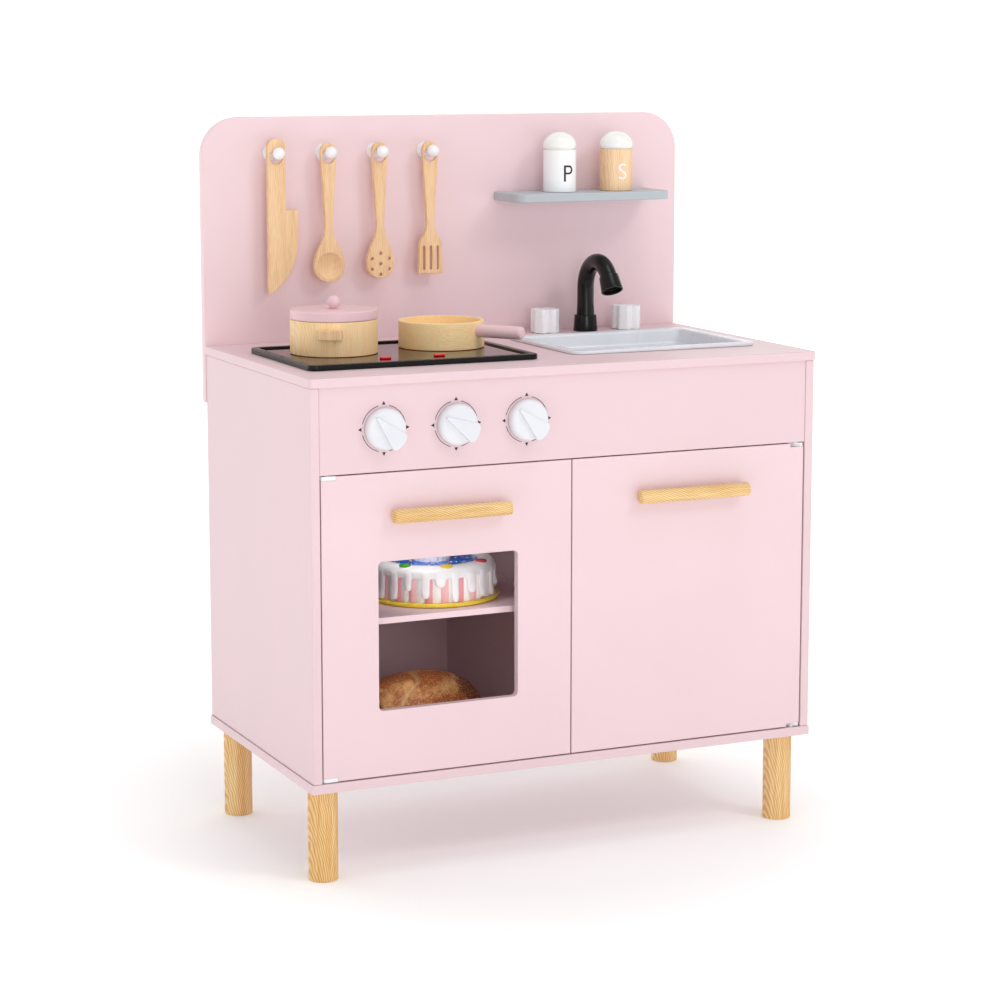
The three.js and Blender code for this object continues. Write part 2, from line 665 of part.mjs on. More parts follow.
// ---------------------------------------------------------------- hob, sink, faucet and taps
function makeHob() {
  const outline = (inset) => {
    const half = HOB_WIDTH / 2 - inset;
    return roundedRectangle(
      [HOB_X - half, HOB_X + half],
      [HOB_FRONT + inset, HOB_FRONT + HOB_DEPTH - inset],
      Array(4).fill(HOB_CORNER - inset / 2),
    );
  };
  const base = WORKTOP_TOP + FIT_GAP;
  const tray = standing(outline(0), [base, base + HOB_HEIGHT]);
  const recess = standing(outline(HOB_RIM), [HOB_SURFACE, HOB_SURFACE + HOB_HEIGHT]);
  place("hob_tray", cut(tray, recess), glossBlack);
}

function sinkOutline(inset) {
  const half = SINK_WIDTH / 2 - inset;
  return roundedRectangle(
    [SINK_X - half, SINK_X + half],
    [SINK_FRONT + inset, SINK_FRONT + SINK_DEPTH - inset],
    Array(4).fill(SINK_CORNER),
  );
}

function makeSink() {
  const flangeBase = WORKTOP_TOP + FIT_GAP;
  const rim = flangeBase + SINK_FLANGE_HEIGHT;
  const floor = rim - SINK_BOWL;
  const flange = standing(sinkOutline(0), [flangeBase, rim]);
  const bowl = standing(sinkOutline(SINK_FLANGE), [floor - SINK_WALL, rim]);
  const hollow = standing(sinkOutline(SINK_FLANGE + SINK_WALL), [floor, rim + 1]);
  place("sink_basin", cut(join(flange, bowl), hollow), white);
}

function makeFaucet() {
  const base = WORKTOP_TOP + FIT_GAP;
  const socket = SPOUT_RADIUS + 2 * FIT_GAP;
  const collar = turned([
    [0, 0],
    [COLLAR_RADIUS, 0],
    [COLLAR_TOP_RADIUS, COLLAR_HEIGHT],
    [socket, COLLAR_HEIGHT],
    [socket, COLLAR_FLOOR],
    [0, COLLAR_FLOOR],
  ]);
  place("faucet_base", collar, black, [FAUCET_X, FAUCET_Y, base]);

  const start = new THREE.Vector3(0, 0, COLLAR_FLOOR + FIT_GAP);
  const route = new THREE.CurvePath();
  route.add(new THREE.LineCurve3(start, new THREE.Vector3(0, 0, SPOUT_COLUMN)));
  const steps = 8;
  const arcPoint = (angle) =>
    new THREE.Vector3(
      0,
      SPOUT_ARC_RADIUS * (Math.cos(angle) - 1),
      SPOUT_COLUMN + SPOUT_ARC_RADIUS * Math.sin(angle),
    );
  for (let i = 0; i < steps; i++) {
    const from = (degrees(SPOUT_ARC_ANGLE) * i) / steps;
    const to = (degrees(SPOUT_ARC_ANGLE) * (i + 1)) / steps;
    route.add(new THREE.LineCurve3(arcPoint(from), arcPoint(to)));
  }
  const section = new THREE.Shape().absarc(0, 0, SPOUT_RADIUS, 0, Math.PI * 2, false);
  const pipeOptions = { steps: 22, curveSegments: SMALL_ROUND / 2, extrudePath: route };
  const pipe = new THREE.ExtrudeGeometry(section, pipeOptions);
  const nozzle = turned(
    [
      [0, -2],
      [SPOUT_RADIUS, -2],
      [SPOUT_RADIUS + 0.8, 0],
      [NOZZLE_RADIUS, NOZZLE_LENGTH],
      [NOZZLE_RADIUS - 2.5, NOZZLE_LENGTH],
      [NOZZLE_RADIUS - 4, NOZZLE_LENGTH - 6],
      [0, NOZZLE_LENGTH - 6],
    ],
    SMALL_ROUND,
  );
  const end = arcPoint(degrees(SPOUT_ARC_ANGLE));
  nozzle.rotateX(degrees(SPOUT_ARC_ANGLE)).translate(end.x, end.y, end.z);
  place("faucet_spout", join(pipe, nozzle), black, [FAUCET_X, FAUCET_Y, base]);
}

function tapX(side) {
  return FAUCET_X + (side * TAP_SPACING) / 2;
}

// Each tap is a cross-shaped prism on a spindle.
function makeTaps() {
  const half = TAP_SPAN / 2;
  const lobe = TAP_LOBE / 2;
  const lobeRound = Array(4).fill(TAP_CORNER);
  const height = [0, TAP_HEIGHT];
  sides.forEach(([name, side], i) => {
    const cross = join(
      standing(roundedRectangle([-half, half], [-lobe, lobe], lobeRound), height),
      standing(roundedRectangle([-lobe, lobe], [-half, half], lobeRound), height),
      rod(SPINDLE_RADIUS, PANEL + 1).translate(0, 0, -PANEL),
    );
    cross.rotateZ(degrees(TAP_TURNS[i]));
    place("tap_" + name, cross, white, [tapX(side), TAP_Y, WORKTOP_TOP + TAP_AIR]);
  });
}

// ---------------------------------------------------------------- utensils
// Each outline is drawn about the centre of its hanging hole, x to the right and z up.
function knifeOutline() {
  const shape = new THREE.Shape();
  shape.moveTo(-10.7, 13);
  shape.quadraticCurveTo(-10.7, 21, 0, 21);
  shape.quadraticCurveTo(10.7, 21, 10.7, 13);
  shape.lineTo(10.7, -59.5);
  shape.lineTo(25, -59.5);
  shape.lineTo(25.5, -76);
  shape.bezierCurveTo(25.6, -118, 19, -135, -7, -154);
  shape.quadraticCurveTo(-10.7, -154, -10.7, -150);
  shape.closePath();
  return shape;
}

// A tapering handle that widens into a head; the head's half is mirrored left to right.
function handled(headLeft, headRight) {
  const shape = new THREE.Shape();
  shape.moveTo(-9.6, 3);
  shape.bezierCurveTo(-9.6, 18.5, 9.6, 18.5, 9.6, 3);
  shape.lineTo(4.6, -76);
  headRight(shape);
  headLeft(shape);
  shape.lineTo(-4.6, -76);
  shape.closePath();
  return shape;
}

function spoonOutline(width, bottom) {
  const half = width / 2;
  const middle = bottom + half * 1.02;
  return handled(
    (shape) => {
      shape.bezierCurveTo(-half * 0.62, bottom, -half, middle - half * 0.62, -half, middle);
      shape.bezierCurveTo(-half, middle + half, -4.6, -92, -4.6, -84);
    },
    (shape) => {
      shape.lineTo(4.6, -84);
      shape.bezierCurveTo(4.6, -92, half, middle + half, half, middle);
      shape.bezierCurveTo(half, middle - half * 0.62, half * 0.62, bottom, 0, bottom);
    },
  );
}

function turnerOutline() {
  return handled(
    (shape) => {
      shape.lineTo(-15.5, -138);
      shape.lineTo(-13.8, -104);
      shape.quadraticCurveTo(-13, -95, -4.6, -86);
    },
    (shape) => {
      shape.lineTo(4.6, -86);
      shape.quadraticCurveTo(13, -95, 13.8, -104);
      shape.lineTo(15.5, -138);
    },
  );
}

const hole = (x, z, radius, segments = SMALL_ROUND) =>
  facingFront(rod(radius, UTENSIL_THICKNESS + 2, segments)).translate(x, UTENSIL_THICKNESS + 1, z);

function makeUtensils() {
  const thick = [0, UTENSIL_THICKNESS];
  const bowl = new THREE.SphereGeometry(BOWL_SPHERE, 20, 12);
  bowl.translate(0, BOWL_DEPTH - BOWL_SPHERE, -BOWL_DROP);
  const drillings = [hole(0, -BOWL_DROP, DRILLING_RADIUS, 8)];
  for (let i = 0; i < 6; i++) {
    const angle = degrees(60 * i + 90);
    const x = DRILLING_RING * Math.cos(angle);
    const z = DRILLING_RING * Math.sin(angle) - BOWL_DROP;
    drillings.push(hole(x, z, DRILLING_RADIUS, 8));
  }
  const slots = [-SLOT_SPACING, 0, SLOT_SPACING].map((x) =>
    slab(
      [x - SLOT_WIDTH / 2, x + SLOT_WIDTH / 2],
      [-1, UTENSIL_THICKNESS + 1],
      [-SLOT_BOTTOM, -SLOT_TOP],
    ),
  );
  const utensils = [
    ["toy_knife", knifeOutline(), []],
    ["toy_spoon", spoonOutline(SPOON_WIDTH, -SPOON_LENGTH), [bowl]],
    ["toy_skimmer", spoonOutline(SKIMMER_WIDTH, -SKIMMER_LENGTH), drillings],
    ["toy_turner", turnerOutline(), slots],
  ];
  utensils.forEach(([name, outline, tools], i) => {
    const blank = upright(outline, thick);
    const piece = cut(blank, hole(0, 0, UTENSIL_HOLE), ...tools);
    place(name, piece, beech, [hookX(i), UTENSIL_FRONT, UTENSIL_HOLE_Z]);
  });
}

// ---------------------------------------------------------------- pot, pan and shakers
const vessel = (radius, height, wall, floor) =>
  turned([
    [0, 0],
    [radius - 1, 0],
    [radius, 1],
    [radius, height],
    [radius - wall, height],
    [radius - wall, floor],
    [0, floor],
  ]);

function makePot() {
  const spot = [POT_X, POT_Y, COOK_Z];
  place("pot_body", vessel(POT_RADIUS, POT_HEIGHT, POT_WALL, POT_FLOOR), beech, spot);
  for (const [name, turn] of [
    ["front", EAR_TURN],
    ["back", EAR_TURN + 180],
  ]) {
    const earPlan = roundedRectangle(
      [POT_RADIUS - 4, POT_RADIUS + EAR_REACH],
      [-EAR_WIDTH / 2, EAR_WIDTH / 2],
      [0, EAR_CORNER, EAR_CORNER, 0],
    );
    const block = standing(earPlan, [EAR_RISE, EAR_RISE + EAR_HEIGHT]);
    const ear = cut(block, rod(POT_RADIUS + FIT_GAP, POT_HEIGHT, ROUND * 2));
    place("pot_ear_" + name, ear.rotateZ(degrees(turn)), beech, spot);
  }
  const lip = POT_RADIUS - POT_WALL - LID_LIP_CLEARANCE;
  const lid = turned([
    [0, -LID_LIP],
    [lip, -LID_LIP],
    [lip, 0],
    [POT_RADIUS, 0],
    [POT_RADIUS, LID_THICKNESS - 1.5],
    [POT_RADIUS - 1.5, LID_THICKNESS],
    [0, LID_THICKNESS],
  ]);
  const lidZ = COOK_Z + POT_HEIGHT + FIT_GAP;
  place("pot_lid", lid, pink, [POT_X, POT_Y, lidZ]);
  const knob = [];
  const from = degrees(32);
  for (let i = 0; i <= 6; i++) {
    const angle = from + ((Math.PI - from) * i) / 6;
    knob.push([LID_KNOB_RADIUS * Math.sin(angle), LID_KNOB_RADIUS * (0.95 - Math.cos(angle))]);
  }
  knob[6][0] = 0;
  const knobFoot = LID_KNOB_RADIUS * Math.sin(from);
  place("pot_lid_knob", turned([[0, 0], [knobFoot, 0], ...knob], SMALL_ROUND), pink, [
    POT_X,
    POT_Y,
    lidZ + LID_THICKNESS + FIT_GAP,
  ]);
}

function makePan() {
  const spot = [PAN_X, PAN_Y, COOK_Z];
  place("pan_body", vessel(PAN_RADIUS, PAN_HEIGHT, PAN_WALL, PAN_FLOOR), beech, spot);
  const end = PAN_RADIUS + PAN_HANDLE_LENGTH;
  const bar = turned(
    [
      [0, PAN_RADIUS - 4],
      [PAN_HANDLE_RADIUS, PAN_RADIUS - 4],
      [PAN_HANDLE_RADIUS, end - 3],
      [PAN_HANDLE_RADIUS - 2.5, end],
      [0, end],
    ],
    SMALL_ROUND,
  );
  bar.rotateY(Math.PI / 2).translate(0, 0, PAN_HANDLE_RISE);
  const clear = rod(PAN_RADIUS + FIT_GAP, PAN_HEIGHT * 2, ROUND * 2).translate(0, 0, -PAN_HEIGHT / 2);
  place("pan_handle", cut(bar, clear).rotateZ(degrees(PAN_HANDLE_TURN)), pink, spot);
}

function makeShakers() {
  const plug = SHAKER_RADIUS - SHAKER_LIP;
  const body = turned([
    [0, 0],
    [SHAKER_RADIUS - 0.8, 0],
    [SHAKER_RADIUS, 0.8],
    [SHAKER_RADIUS, SHAKER_BODY],
    [plug + FIT_GAP, SHAKER_BODY],
    [plug + FIT_GAP, SHAKER_BODY - SHAKER_SOCKET],
    [0, SHAKER_BODY - SHAKER_SOCKET],
  ]);
  const dome = [];
  for (let i = 0; i <= 5; i++) {
    const angle = (Math.PI / 2) * (i / 5);
    const rise = SHAKER_SKIRT + (SHAKER_CAP - SHAKER_SKIRT) * Math.sin(angle);
    dome.push([SHAKER_RADIUS * Math.cos(angle), rise]);
  }
  dome[5][0] = 0;
  const cap = turned([
    [0, -SHAKER_NECK],
    [plug, -SHAKER_NECK],
    [plug, 0],
    [SHAKER_RADIUS - 1, 0],
    ...dome,
  ]);
  const base = WALL_SHELF_TOP + FIT_GAP;
  for (const [name, x, material] of [
    ["pepper", WALL_SHELF_X + PEPPER_SHIFT, white],
    ["salt", WALL_SHELF_X + SALT_SHIFT, beech],
  ]) {
    place(name + "_shaker_body", body.clone(), material, [x, SPLASH_FRONT - SHAKER_REACH, base]);
    const capSpot = [x, SPLASH_FRONT - SHAKER_REACH, base + SHAKER_BODY + FIT_GAP];
    place(name + "_shaker_cap", cap.clone(), white, capSpot);
  }
}

// ---------------------------------------------------------------- toy food
function makeCake() {
  const dip = CAKE_RADIUS - CAKE_ICING_WIDTH;
  const cake = turned([
    [0, 0],
    [CAKE_PLATE_RADIUS, 0],
    [CAKE_PLATE_RADIUS, CAKE_PLATE],
    [CAKE_RADIUS, CAKE_PLATE],
    [CAKE_RADIUS, CAKE_HEIGHT - 6],
    [CAKE_RADIUS - 4, CAKE_HEIGHT],
    [dip + 2, CAKE_HEIGHT],
    [dip, CAKE_HEIGHT - CAKE_DIP],
    [CAKE_TIER_RADIUS, CAKE_HEIGHT - CAKE_DIP],
    [CAKE_TIER_RADIUS, CAKE_HEIGHT + CAKE_TIER - 3],
    [CAKE_TIER_RADIUS - 3, CAKE_HEIGHT + CAKE_TIER],
    [0, CAKE_HEIGHT + CAKE_TIER],
  ]);
  const shelfTop = OVEN_SHELF_BOTTOM + SHELF_THICKNESS;
  const cakeY = SHELF_SETBACK + CAKE_SETBACK + CAKE_PLATE_RADIUS;
  place("toy_cake", cake, icing, [OVEN_MIDDLE_X + CAKE_SHIFT, cakeY, shelfTop + FIT_GAP]);
}

// A domed loaf with a flat base.
function makeBread() {
  const profile = [];
  for (let i = 0; i <= 8; i++) {
    const angle = (Math.PI / 2) * (i / 8);
    profile.push([Math.cos(angle) ** 0.9, 0.3 + 0.7 * Math.sin(angle)]);
  }
  profile[8][0] = 0;
  const loaf = turned([[0, 0], [0.86, 0], ...profile], 24);
  loaf.scale(BREAD_LENGTH / 2, BREAD_DEPTH / 2, BREAD_HEIGHT);
  const breadY = BREAD_SETBACK + BREAD_DEPTH / 2;
  place("toy_bread", loaf, crust, [OVEN_MIDDLE_X + BREAD_SHIFT, breadY, BOTTOM_TOP + FIT_GAP]);
}

makeWorktop();
makeSidePanels();
makeBottomPanel();
makeInnerPanels();
makeFascia();
makeLegs();
makeSplashback();
makeWallShelf();
makeHooks();
makeDoors();
makeKnobs();
makeHob();
makeSink();
makeFaucet();
makeTaps();
makeUtensils();
makePot();
makePan();
makeShakers();
makeCake();
makeBread();

// The origin is the bottom centre of the whole object's box.
assembly.position.y = -(FRONTMOST + SPLASH_BACK) / 2;
const kitchen = new THREE.Group();
kitchen.add(assembly);

export default kitchen;
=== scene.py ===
# %% [markdown]
# # A wooden toy kitchen
# The real thing is a cabinet of painted boards on four turned legs, with two doors, three knobs, a hob,
# a sink, and a splashback that carries hooks, utensils and a shelf. The solid model gives every size and
# place, so each piece here is made over the solid that it stands for, in metres, and rides on its body.

# %% Load the solid model as a fixed frame
import json
import math
import random

import bmesh
import bpy
from mathutils import Matrix, Vector, noise


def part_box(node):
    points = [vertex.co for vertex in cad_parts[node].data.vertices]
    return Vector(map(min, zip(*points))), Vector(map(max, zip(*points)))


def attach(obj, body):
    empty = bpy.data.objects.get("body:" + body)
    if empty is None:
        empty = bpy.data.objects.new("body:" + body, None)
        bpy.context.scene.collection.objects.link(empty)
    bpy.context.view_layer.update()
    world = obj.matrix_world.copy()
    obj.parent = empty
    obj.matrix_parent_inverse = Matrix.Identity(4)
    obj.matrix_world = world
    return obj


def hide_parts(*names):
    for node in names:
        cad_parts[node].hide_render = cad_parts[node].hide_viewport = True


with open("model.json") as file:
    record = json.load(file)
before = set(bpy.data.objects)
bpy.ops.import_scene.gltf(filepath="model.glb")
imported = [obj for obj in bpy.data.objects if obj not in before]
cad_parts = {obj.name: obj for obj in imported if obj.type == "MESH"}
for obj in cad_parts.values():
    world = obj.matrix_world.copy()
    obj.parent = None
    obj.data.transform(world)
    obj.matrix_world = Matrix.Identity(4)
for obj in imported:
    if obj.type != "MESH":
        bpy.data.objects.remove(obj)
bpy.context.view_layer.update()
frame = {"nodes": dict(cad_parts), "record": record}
scene = bpy.context.scene
MM = 0.001
record = frame["record"]
body_of = {
    node: body for body, nodes in record["behaviour"]["bodies"].items() for node in nodes
}


def put(name, data):
    """An object in the scene that holds this data."""
    made = bpy.data.objects.new(name, data)
    scene.collection.objects.link(made)
    return made


# %% [markdown]
# The camera stands left of the middle, a little above the splashback, and is tilted down by 8.5 degrees.
# A long lens keeps the boards' edges nearly parallel. A small shift moves the frame without tilting the
# camera more.

# %% Camera
camera_data = bpy.data.cameras.new("camera")
camera_data.lens = 96.65
camera_data.shift_y = -0.06
camera = put("camera", camera_data)
camera.location = (-1.2618, -2.7180, 0.8847)
turn, tilt = math.radians(24.71), math.radians(8.49)
sight = Vector((math.sin(turn) * math.cos(tilt), math.cos(turn) * math.cos(tilt), -math.sin(tilt)))
camera.rotation_euler = sight.to_track_quat("-Z", "Y").to_euler()
scene.camera = camera
print("camera at", tuple(round(c, 3) for c in camera.location))

# %% [markdown]
# Shader nodes are wired by a few small helpers. `add` makes a node, sets its plain values and links
# whatever is given as a socket. A finish that several materials share becomes a node group, which puts
# out only colours, masks and heights, so that each material keeps its own Principled shader.


# %% Helpers for shader nodes
def tone(red, green, blue):
    """A screen colour, 0 to 255, as the linear colour that shaders use."""

    def linear(value):
        value /= 255
        return value / 12.92 if value <= 0.04045 else ((value + 0.055) / 1.055) ** 2.4

    return (linear(red), linear(green), linear(blue), 1.0)


def add(tree, kind, inputs=None, **settings):
    """Adds a node, with its settings, and its inputs given as values or as sockets to link."""
    made = tree.nodes.new(kind)
    for key, value in settings.items():
        setattr(made, key, value)
    for key, value in (inputs or {}).items():
        if isinstance(value, bpy.types.NodeSocket):
            tree.links.new(value, made.inputs[key])
        else:
            made.inputs[key].default_value = value
    return made


def maths(tree, operation, first, second=0.0, third=0.0):
    return add(tree, "ShaderNodeMath", {0: first, 1: second, 2: third}, operation=operation).outputs[0]


def mixed(tree, factor, first, second, blend="MIX"):
    """Mixes two colours."""
    inputs = {0: factor, 6: first, 7: second}
    made = add(tree, "ShaderNodeMix", inputs, data_type="RGBA", blend_type=blend)
    return made.outputs[2]


def spread(tree, value, low, high, to_low=0.0, to_high=1.0):
    """Maps a stretch of values onto another, and holds it inside."""
    inputs = {0: value, 1: low, 2: high, 3: to_low, 4: to_high}
    return add(tree, "ShaderNodeMapRange", inputs).outputs[0]


def new_group(name, inputs, outputs):
    """An empty shader group with named inputs and outputs."""
    group = bpy.data.node_groups.new(name, "ShaderNodeTree")
    for label, kind, value in inputs:
        socket = group.interface.new_socket(label, in_out="INPUT", socket_type="NodeSocket" + kind)
        if value is not None:
            socket.default_value = value
    for label, kind in outputs:
        group.interface.new_socket(label, in_out="OUTPUT", socket_type="NodeSocket" + kind)
    return group, group.nodes.new("NodeGroupInput"), group.nodes.new("NodeGroupOutput")


def use_group(tree, group, inputs):
    return add(tree, "ShaderNodeGroup", inputs, node_tree=group)


def new_material(name, roughness=0.5, **shader):
    """A material with a Principled shader, and a mapped set of Object coordinates to feed patterns."""
    material = bpy.data.materials.new(name)
    material.use_nodes = True
    tree = material.node_tree
    surface = tree.nodes["Principled BSDF"]
    surface.inputs["Roughness"].default_value = roughness
    for key, value in shader.items():
        surface.inputs[key.replace("_", " ")].default_value = value
    place = add(tree, "ShaderNodeTexCoord").outputs["Object"]
    return material, tree, surface, place


def bump(tree, surface, height, distance):
    """Feeds a height, 0 to 1, into the shader's normal; the distance is in metres."""
    inputs = {"Height": height, "Distance": distance, "Strength": 1.0}
    made = add(tree, "ShaderNodeBump", inputs)
    tree.links.new(made.outputs[0], surface.inputs["Normal"])


def dress(tree, surface, colour, roughness, height, relief):
    """Wires a finish to its shader; the relief is the depth of its height in metres."""
    tree.links.new(colour, surface.inputs["Base Color"])
    tree.links.new(roughness, surface.inputs["Roughness"])
    bump(tree, surface, height, relief)


print("shader helpers ready")

# %% [markdown]
# **Board paint.** The boards are MDF with sprayed satin paint. Paint is never one flat colour: it has a
# cloudy variation of about a percent, a fine orange-peel relief, and a sheen that differs a little from
# place to place. One group holds all three, and each paint gives it a colour.

# %% The paint group and the painted finishes
paint_group, start, end = new_group(
    "sprayed_paint",
    [("Place", "Vector", None), ("Colour", "Color", (0.8, 0.8, 0.8, 1)), ("Sheen", "Float", 0.42)],
    [("Colour", "Color"), ("Roughness", "Float"), ("Height", "Float")],
)
clouds = add(paint_group, "ShaderNodeTexNoise", {"Vector": start.outputs[0], "Scale": 7.0, "Detail": 3.0})
shade = spread(paint_group, clouds.outputs[0], 0.3, 0.7, 0.965, 1.0)
lit = add(paint_group, "ShaderNodeVectorMath", {0: start.outputs[1], 3: shade}, operation="SCALE")
paint_group.links.new(lit.outputs[0], end.inputs["Colour"])
peel = add(paint_group, "ShaderNodeTexNoise", {"Vector": start.outputs[0], "Scale": 520.0, "Detail": 1.0})
paint_group.links.new(peel.outputs[0], end.inputs["Height"])
haze = spread(paint_group, clouds.outputs[0], 0.3, 0.7, -0.04, 0.05)
paint_group.links.new(maths(paint_group, "ADD", start.outputs[2], haze), end.inputs["Roughness"])


def painted(name, colour, sheen=0.42, relief=0.00006):
    material, tree, surface, place = new_material(name)
    coat = use_group(tree, paint_group, {"Place": place, "Colour": colour, "Sheen": sheen})
    dress(tree, surface, coat.outputs["Colour"], coat.outputs["Roughness"], coat.outputs["Height"], relief)
    return material


# One pink paint in three tones, each set to how its boards are lit: the first, darkest, is painted shade on
# the worktop, sides, bottom and fascia; the second, brightest, is painted light on the splashback and oven
# shelf; the third, for the doors, is painted light that lies between the two.
pink_in_shade_paint = painted("pink_in_shade_paint", tone(229, 202, 207))
pink_in_light_paint = painted("pink_in_light_paint", tone(238, 211, 216))
pink_half_lit_paint = painted("pink_half_lit_paint", tone(234, 207, 212))
# A darker, duller copy of the same pink for the boards inside the cabinet: painted shade for its dim inside.
pink_inside_shade_paint = painted("pink_inside_shade_paint", tone(208, 178, 182), 0.6)
grey_paint = painted("grey_paint", tone(184, 192, 197))
pan_pink = painted("cookware_pink", tone(235, 200, 205), 0.36)
red_print = painted("red_print", tone(244, 34, 28), 0.22, 0.00002)
dark_print = painted("dark_print", tone(42, 34, 38), 0.5, 0.00002)
white_print = painted("white_print", tone(248, 246, 242), 0.4, 0.00002)
print("painted finishes:", [m.name for m in bpy.data.materials if m.name.endswith(("paint", "print"))])

# %% [markdown]
# **Timber.** The legs and handles are pale ash with long straight grain, and the utensils and pots are
# beech. Wood shows three things: broad bands where the growth rings are cut, fine fibres along the
# grain, and short dark pores. All three are noises squeezed across the grain, so one group serves every
# piece, and each material only turns and scales the coordinates so that its grain runs the right way.

# %% The timber group and the wooden finishes
timber_group, start, end = new_group(
    "timber_grain",
    [
        ("Place", "Vector", None),
        ("Light", "Color", (0.8, 0.6, 0.4, 1)),
        ("Dark", "Color", (0.6, 0.4, 0.2, 1)),
        ("Bands", "Float", 60.0),
        ("Contrast", "Float", 0.5),
        ("Line Place", "Vector", None),
        ("Lines", "Float", 0.5),
    ],
    [("Colour", "Color"), ("Roughness", "Float"), ("Height", "Float")],
)
g = timber_group
rings = add(g, "ShaderNodeTexNoise", {"Vector": start.outputs[0], "Scale": start.outputs[3], "Detail": 3.0,
                                      "Distortion": 0.6})
fibre_scale = maths(g, "MULTIPLY", start.outputs[3], 7.0)
fibres = add(g, "ShaderNodeTexNoise", {"Vector": start.outputs[0], "Scale": fibre_scale, "Detail": 2.0})
pore_scale = maths(g, "MULTIPLY", start.outputs[3], 12.0)
pores = add(g, "ShaderNodeTexNoise", {"Vector": start.outputs[0], "Scale": pore_scale, "Detail": 0.0})
ring_lines = add(g, "ShaderNodeTexWave", {"Vector": start.outputs[5], "Scale": 143.0, "Distortion": 8.0,
                                          "Detail": 2.0, "Detail Scale": 0.26, "Detail Roughness": 0.6},
                 wave_type="BANDS", bands_direction="X")
line_mask = maths(g, "MULTIPLY", spread(g, ring_lines.outputs[1], 0.15, 0.85), start.outputs[6])
band_mask = spread(g, rings.outputs[0], 0.38, 0.66)
fibre_mask = spread(g, fibres.outputs[0], 0.35, 0.7)
pore_mask = spread(g, pores.outputs[0], 0.62, 0.75)
weight = maths(g, "MULTIPLY_ADD", band_mask, 0.45, maths(g, "MULTIPLY", fibre_mask, 0.35))
weight = maths(g, "ADD", weight, line_mask)
weight = maths(g, "MULTIPLY", weight, start.outputs[4])
body_colour = mixed(g, weight, start.outputs[1], start.outputs[2])
pore_dark = mixed(g, maths(g, "MULTIPLY", pore_mask, 0.25), body_colour, start.outputs[2], "MULTIPLY")
g.links.new(pore_dark, end.inputs["Colour"])
g.links.new(spread(g, fibres.outputs[0], 0.3, 0.7, 0.46, 0.6), end.inputs["Roughness"])
relief = maths(g, "SUBTRACT", fibre_mask, maths(g, "MULTIPLY", pore_mask, 0.8))
g.links.new(relief, end.inputs["Height"])


def timber(name, light, dark, along, bands=60.0, contrast=0.6, lines=0.3, lean=6):
    """A wood whose grain runs along X, Y or Z; bands is how close together its rings are, lines is how
    strongly the fine ring lines show, and lean is how many degrees they turn off the grain."""
    material, tree, surface, place = new_material(name)
    squeeze = [1.0, 1.0, 1.0]
    squeeze["XYZ".index(along)] = 0.045
    mapped = add(tree, "ShaderNodeMapping", {"Vector": place, "Scale": squeeze})
    turn = math.radians(90 - lean if along == "X" else lean)
    lined = add(tree, "ShaderNodeMapping", {"Vector": place, "Rotation": (0, turn, 0)})
    inputs = {"Place": mapped.outputs[0], "Light": light, "Dark": dark, "Bands": bands, "Contrast": contrast,
              "Line Place": lined.outputs[0], "Lines": lines}
    wood = use_group(tree, timber_group, inputs)
    dress(tree, surface, wood.outputs["Colour"], wood.outputs["Roughness"], wood.outputs["Height"], 0.00012)
    return material


leg_wood = timber("leg_wood", tone(252, 226, 170), tone(218, 160, 84), "Z", 95.0, 0.8, 0.7, 11)
handle_wood = timber("handle_wood", tone(247, 218, 160), tone(210, 162, 94), "X", 95.0, 0.8, 0.7, 24)
utensil_wood = timber("utensil_wood", tone(250, 214, 170), tone(218, 168, 116), "Z", 150.0, 0.62, 0.34, 4)
pot_wood = timber("pot_wood", tone(255, 230, 182), tone(250, 194, 132), "Z", 110.0, 0.6, 0.6, 9)
pan_wood = timber("pan_wood", tone(255, 234, 182), tone(253, 202, 136), "X", 90.0, 0.6, 0.55, 12)
shaker_wood = timber("shaker_wood", tone(253, 222, 182), tone(228, 176, 126), "Z", 110.0, 0.6, 0.4, 5)
print("wooden finishes:", [m.name for m in bpy.data.materials if m.name.endswith("wood")])

# %% [markdown]
# **Moulded plastic.** Knobs, hooks, hinges, sink, taps and faucet are moulded. Their gloss comes from a
# low roughness, and what makes them look real is a very fine texture from the mould and faint handling
# smudges in the sheen.

# %% The moulding group and the plastic finishes
mould_group, start, end = new_group(
    "moulded_skin",
    [("Place", "Vector", None), ("Sheen", "Float", 0.3), ("Grit", "Float", 900.0)],
    [("Roughness", "Float"), ("Height", "Float"), ("Cloud", "Float")],
)
smudge = add(mould_group, "ShaderNodeTexNoise", {"Vector": start.outputs[0], "Scale": 22.0, "Detail": 4.0})
smear = spread(mould_group, smudge.outputs[0], 0.35, 0.7, -0.04, 0.07)
mould_group.links.new(maths(mould_group, "ADD", start.outputs[1], smear), end.inputs["Roughness"])
grit = add(mould_group, "ShaderNodeTexNoise", {"Vector": start.outputs[0], "Scale": start.outputs[2]})
mould_group.links.new(grit.outputs[0], end.inputs["Height"])
mould_group.links.new(spread(mould_group, smudge.outputs[0], 0.3, 0.7), end.inputs["Cloud"])


def moulded(name, colour, second, sheen=0.3, relief=0.00003, **shader):
    """A plastic that drifts between two near colours."""
    material, tree, surface, place = new_material(name, **shader)
    skin = use_group(tree, mould_group, {"Place": place, "Sheen": sheen})
    drift = mixed(tree, skin.outputs["Cloud"], colour, second)
    dress(tree, surface, drift, skin.outputs["Roughness"], skin.outputs["Height"], relief)
    return material


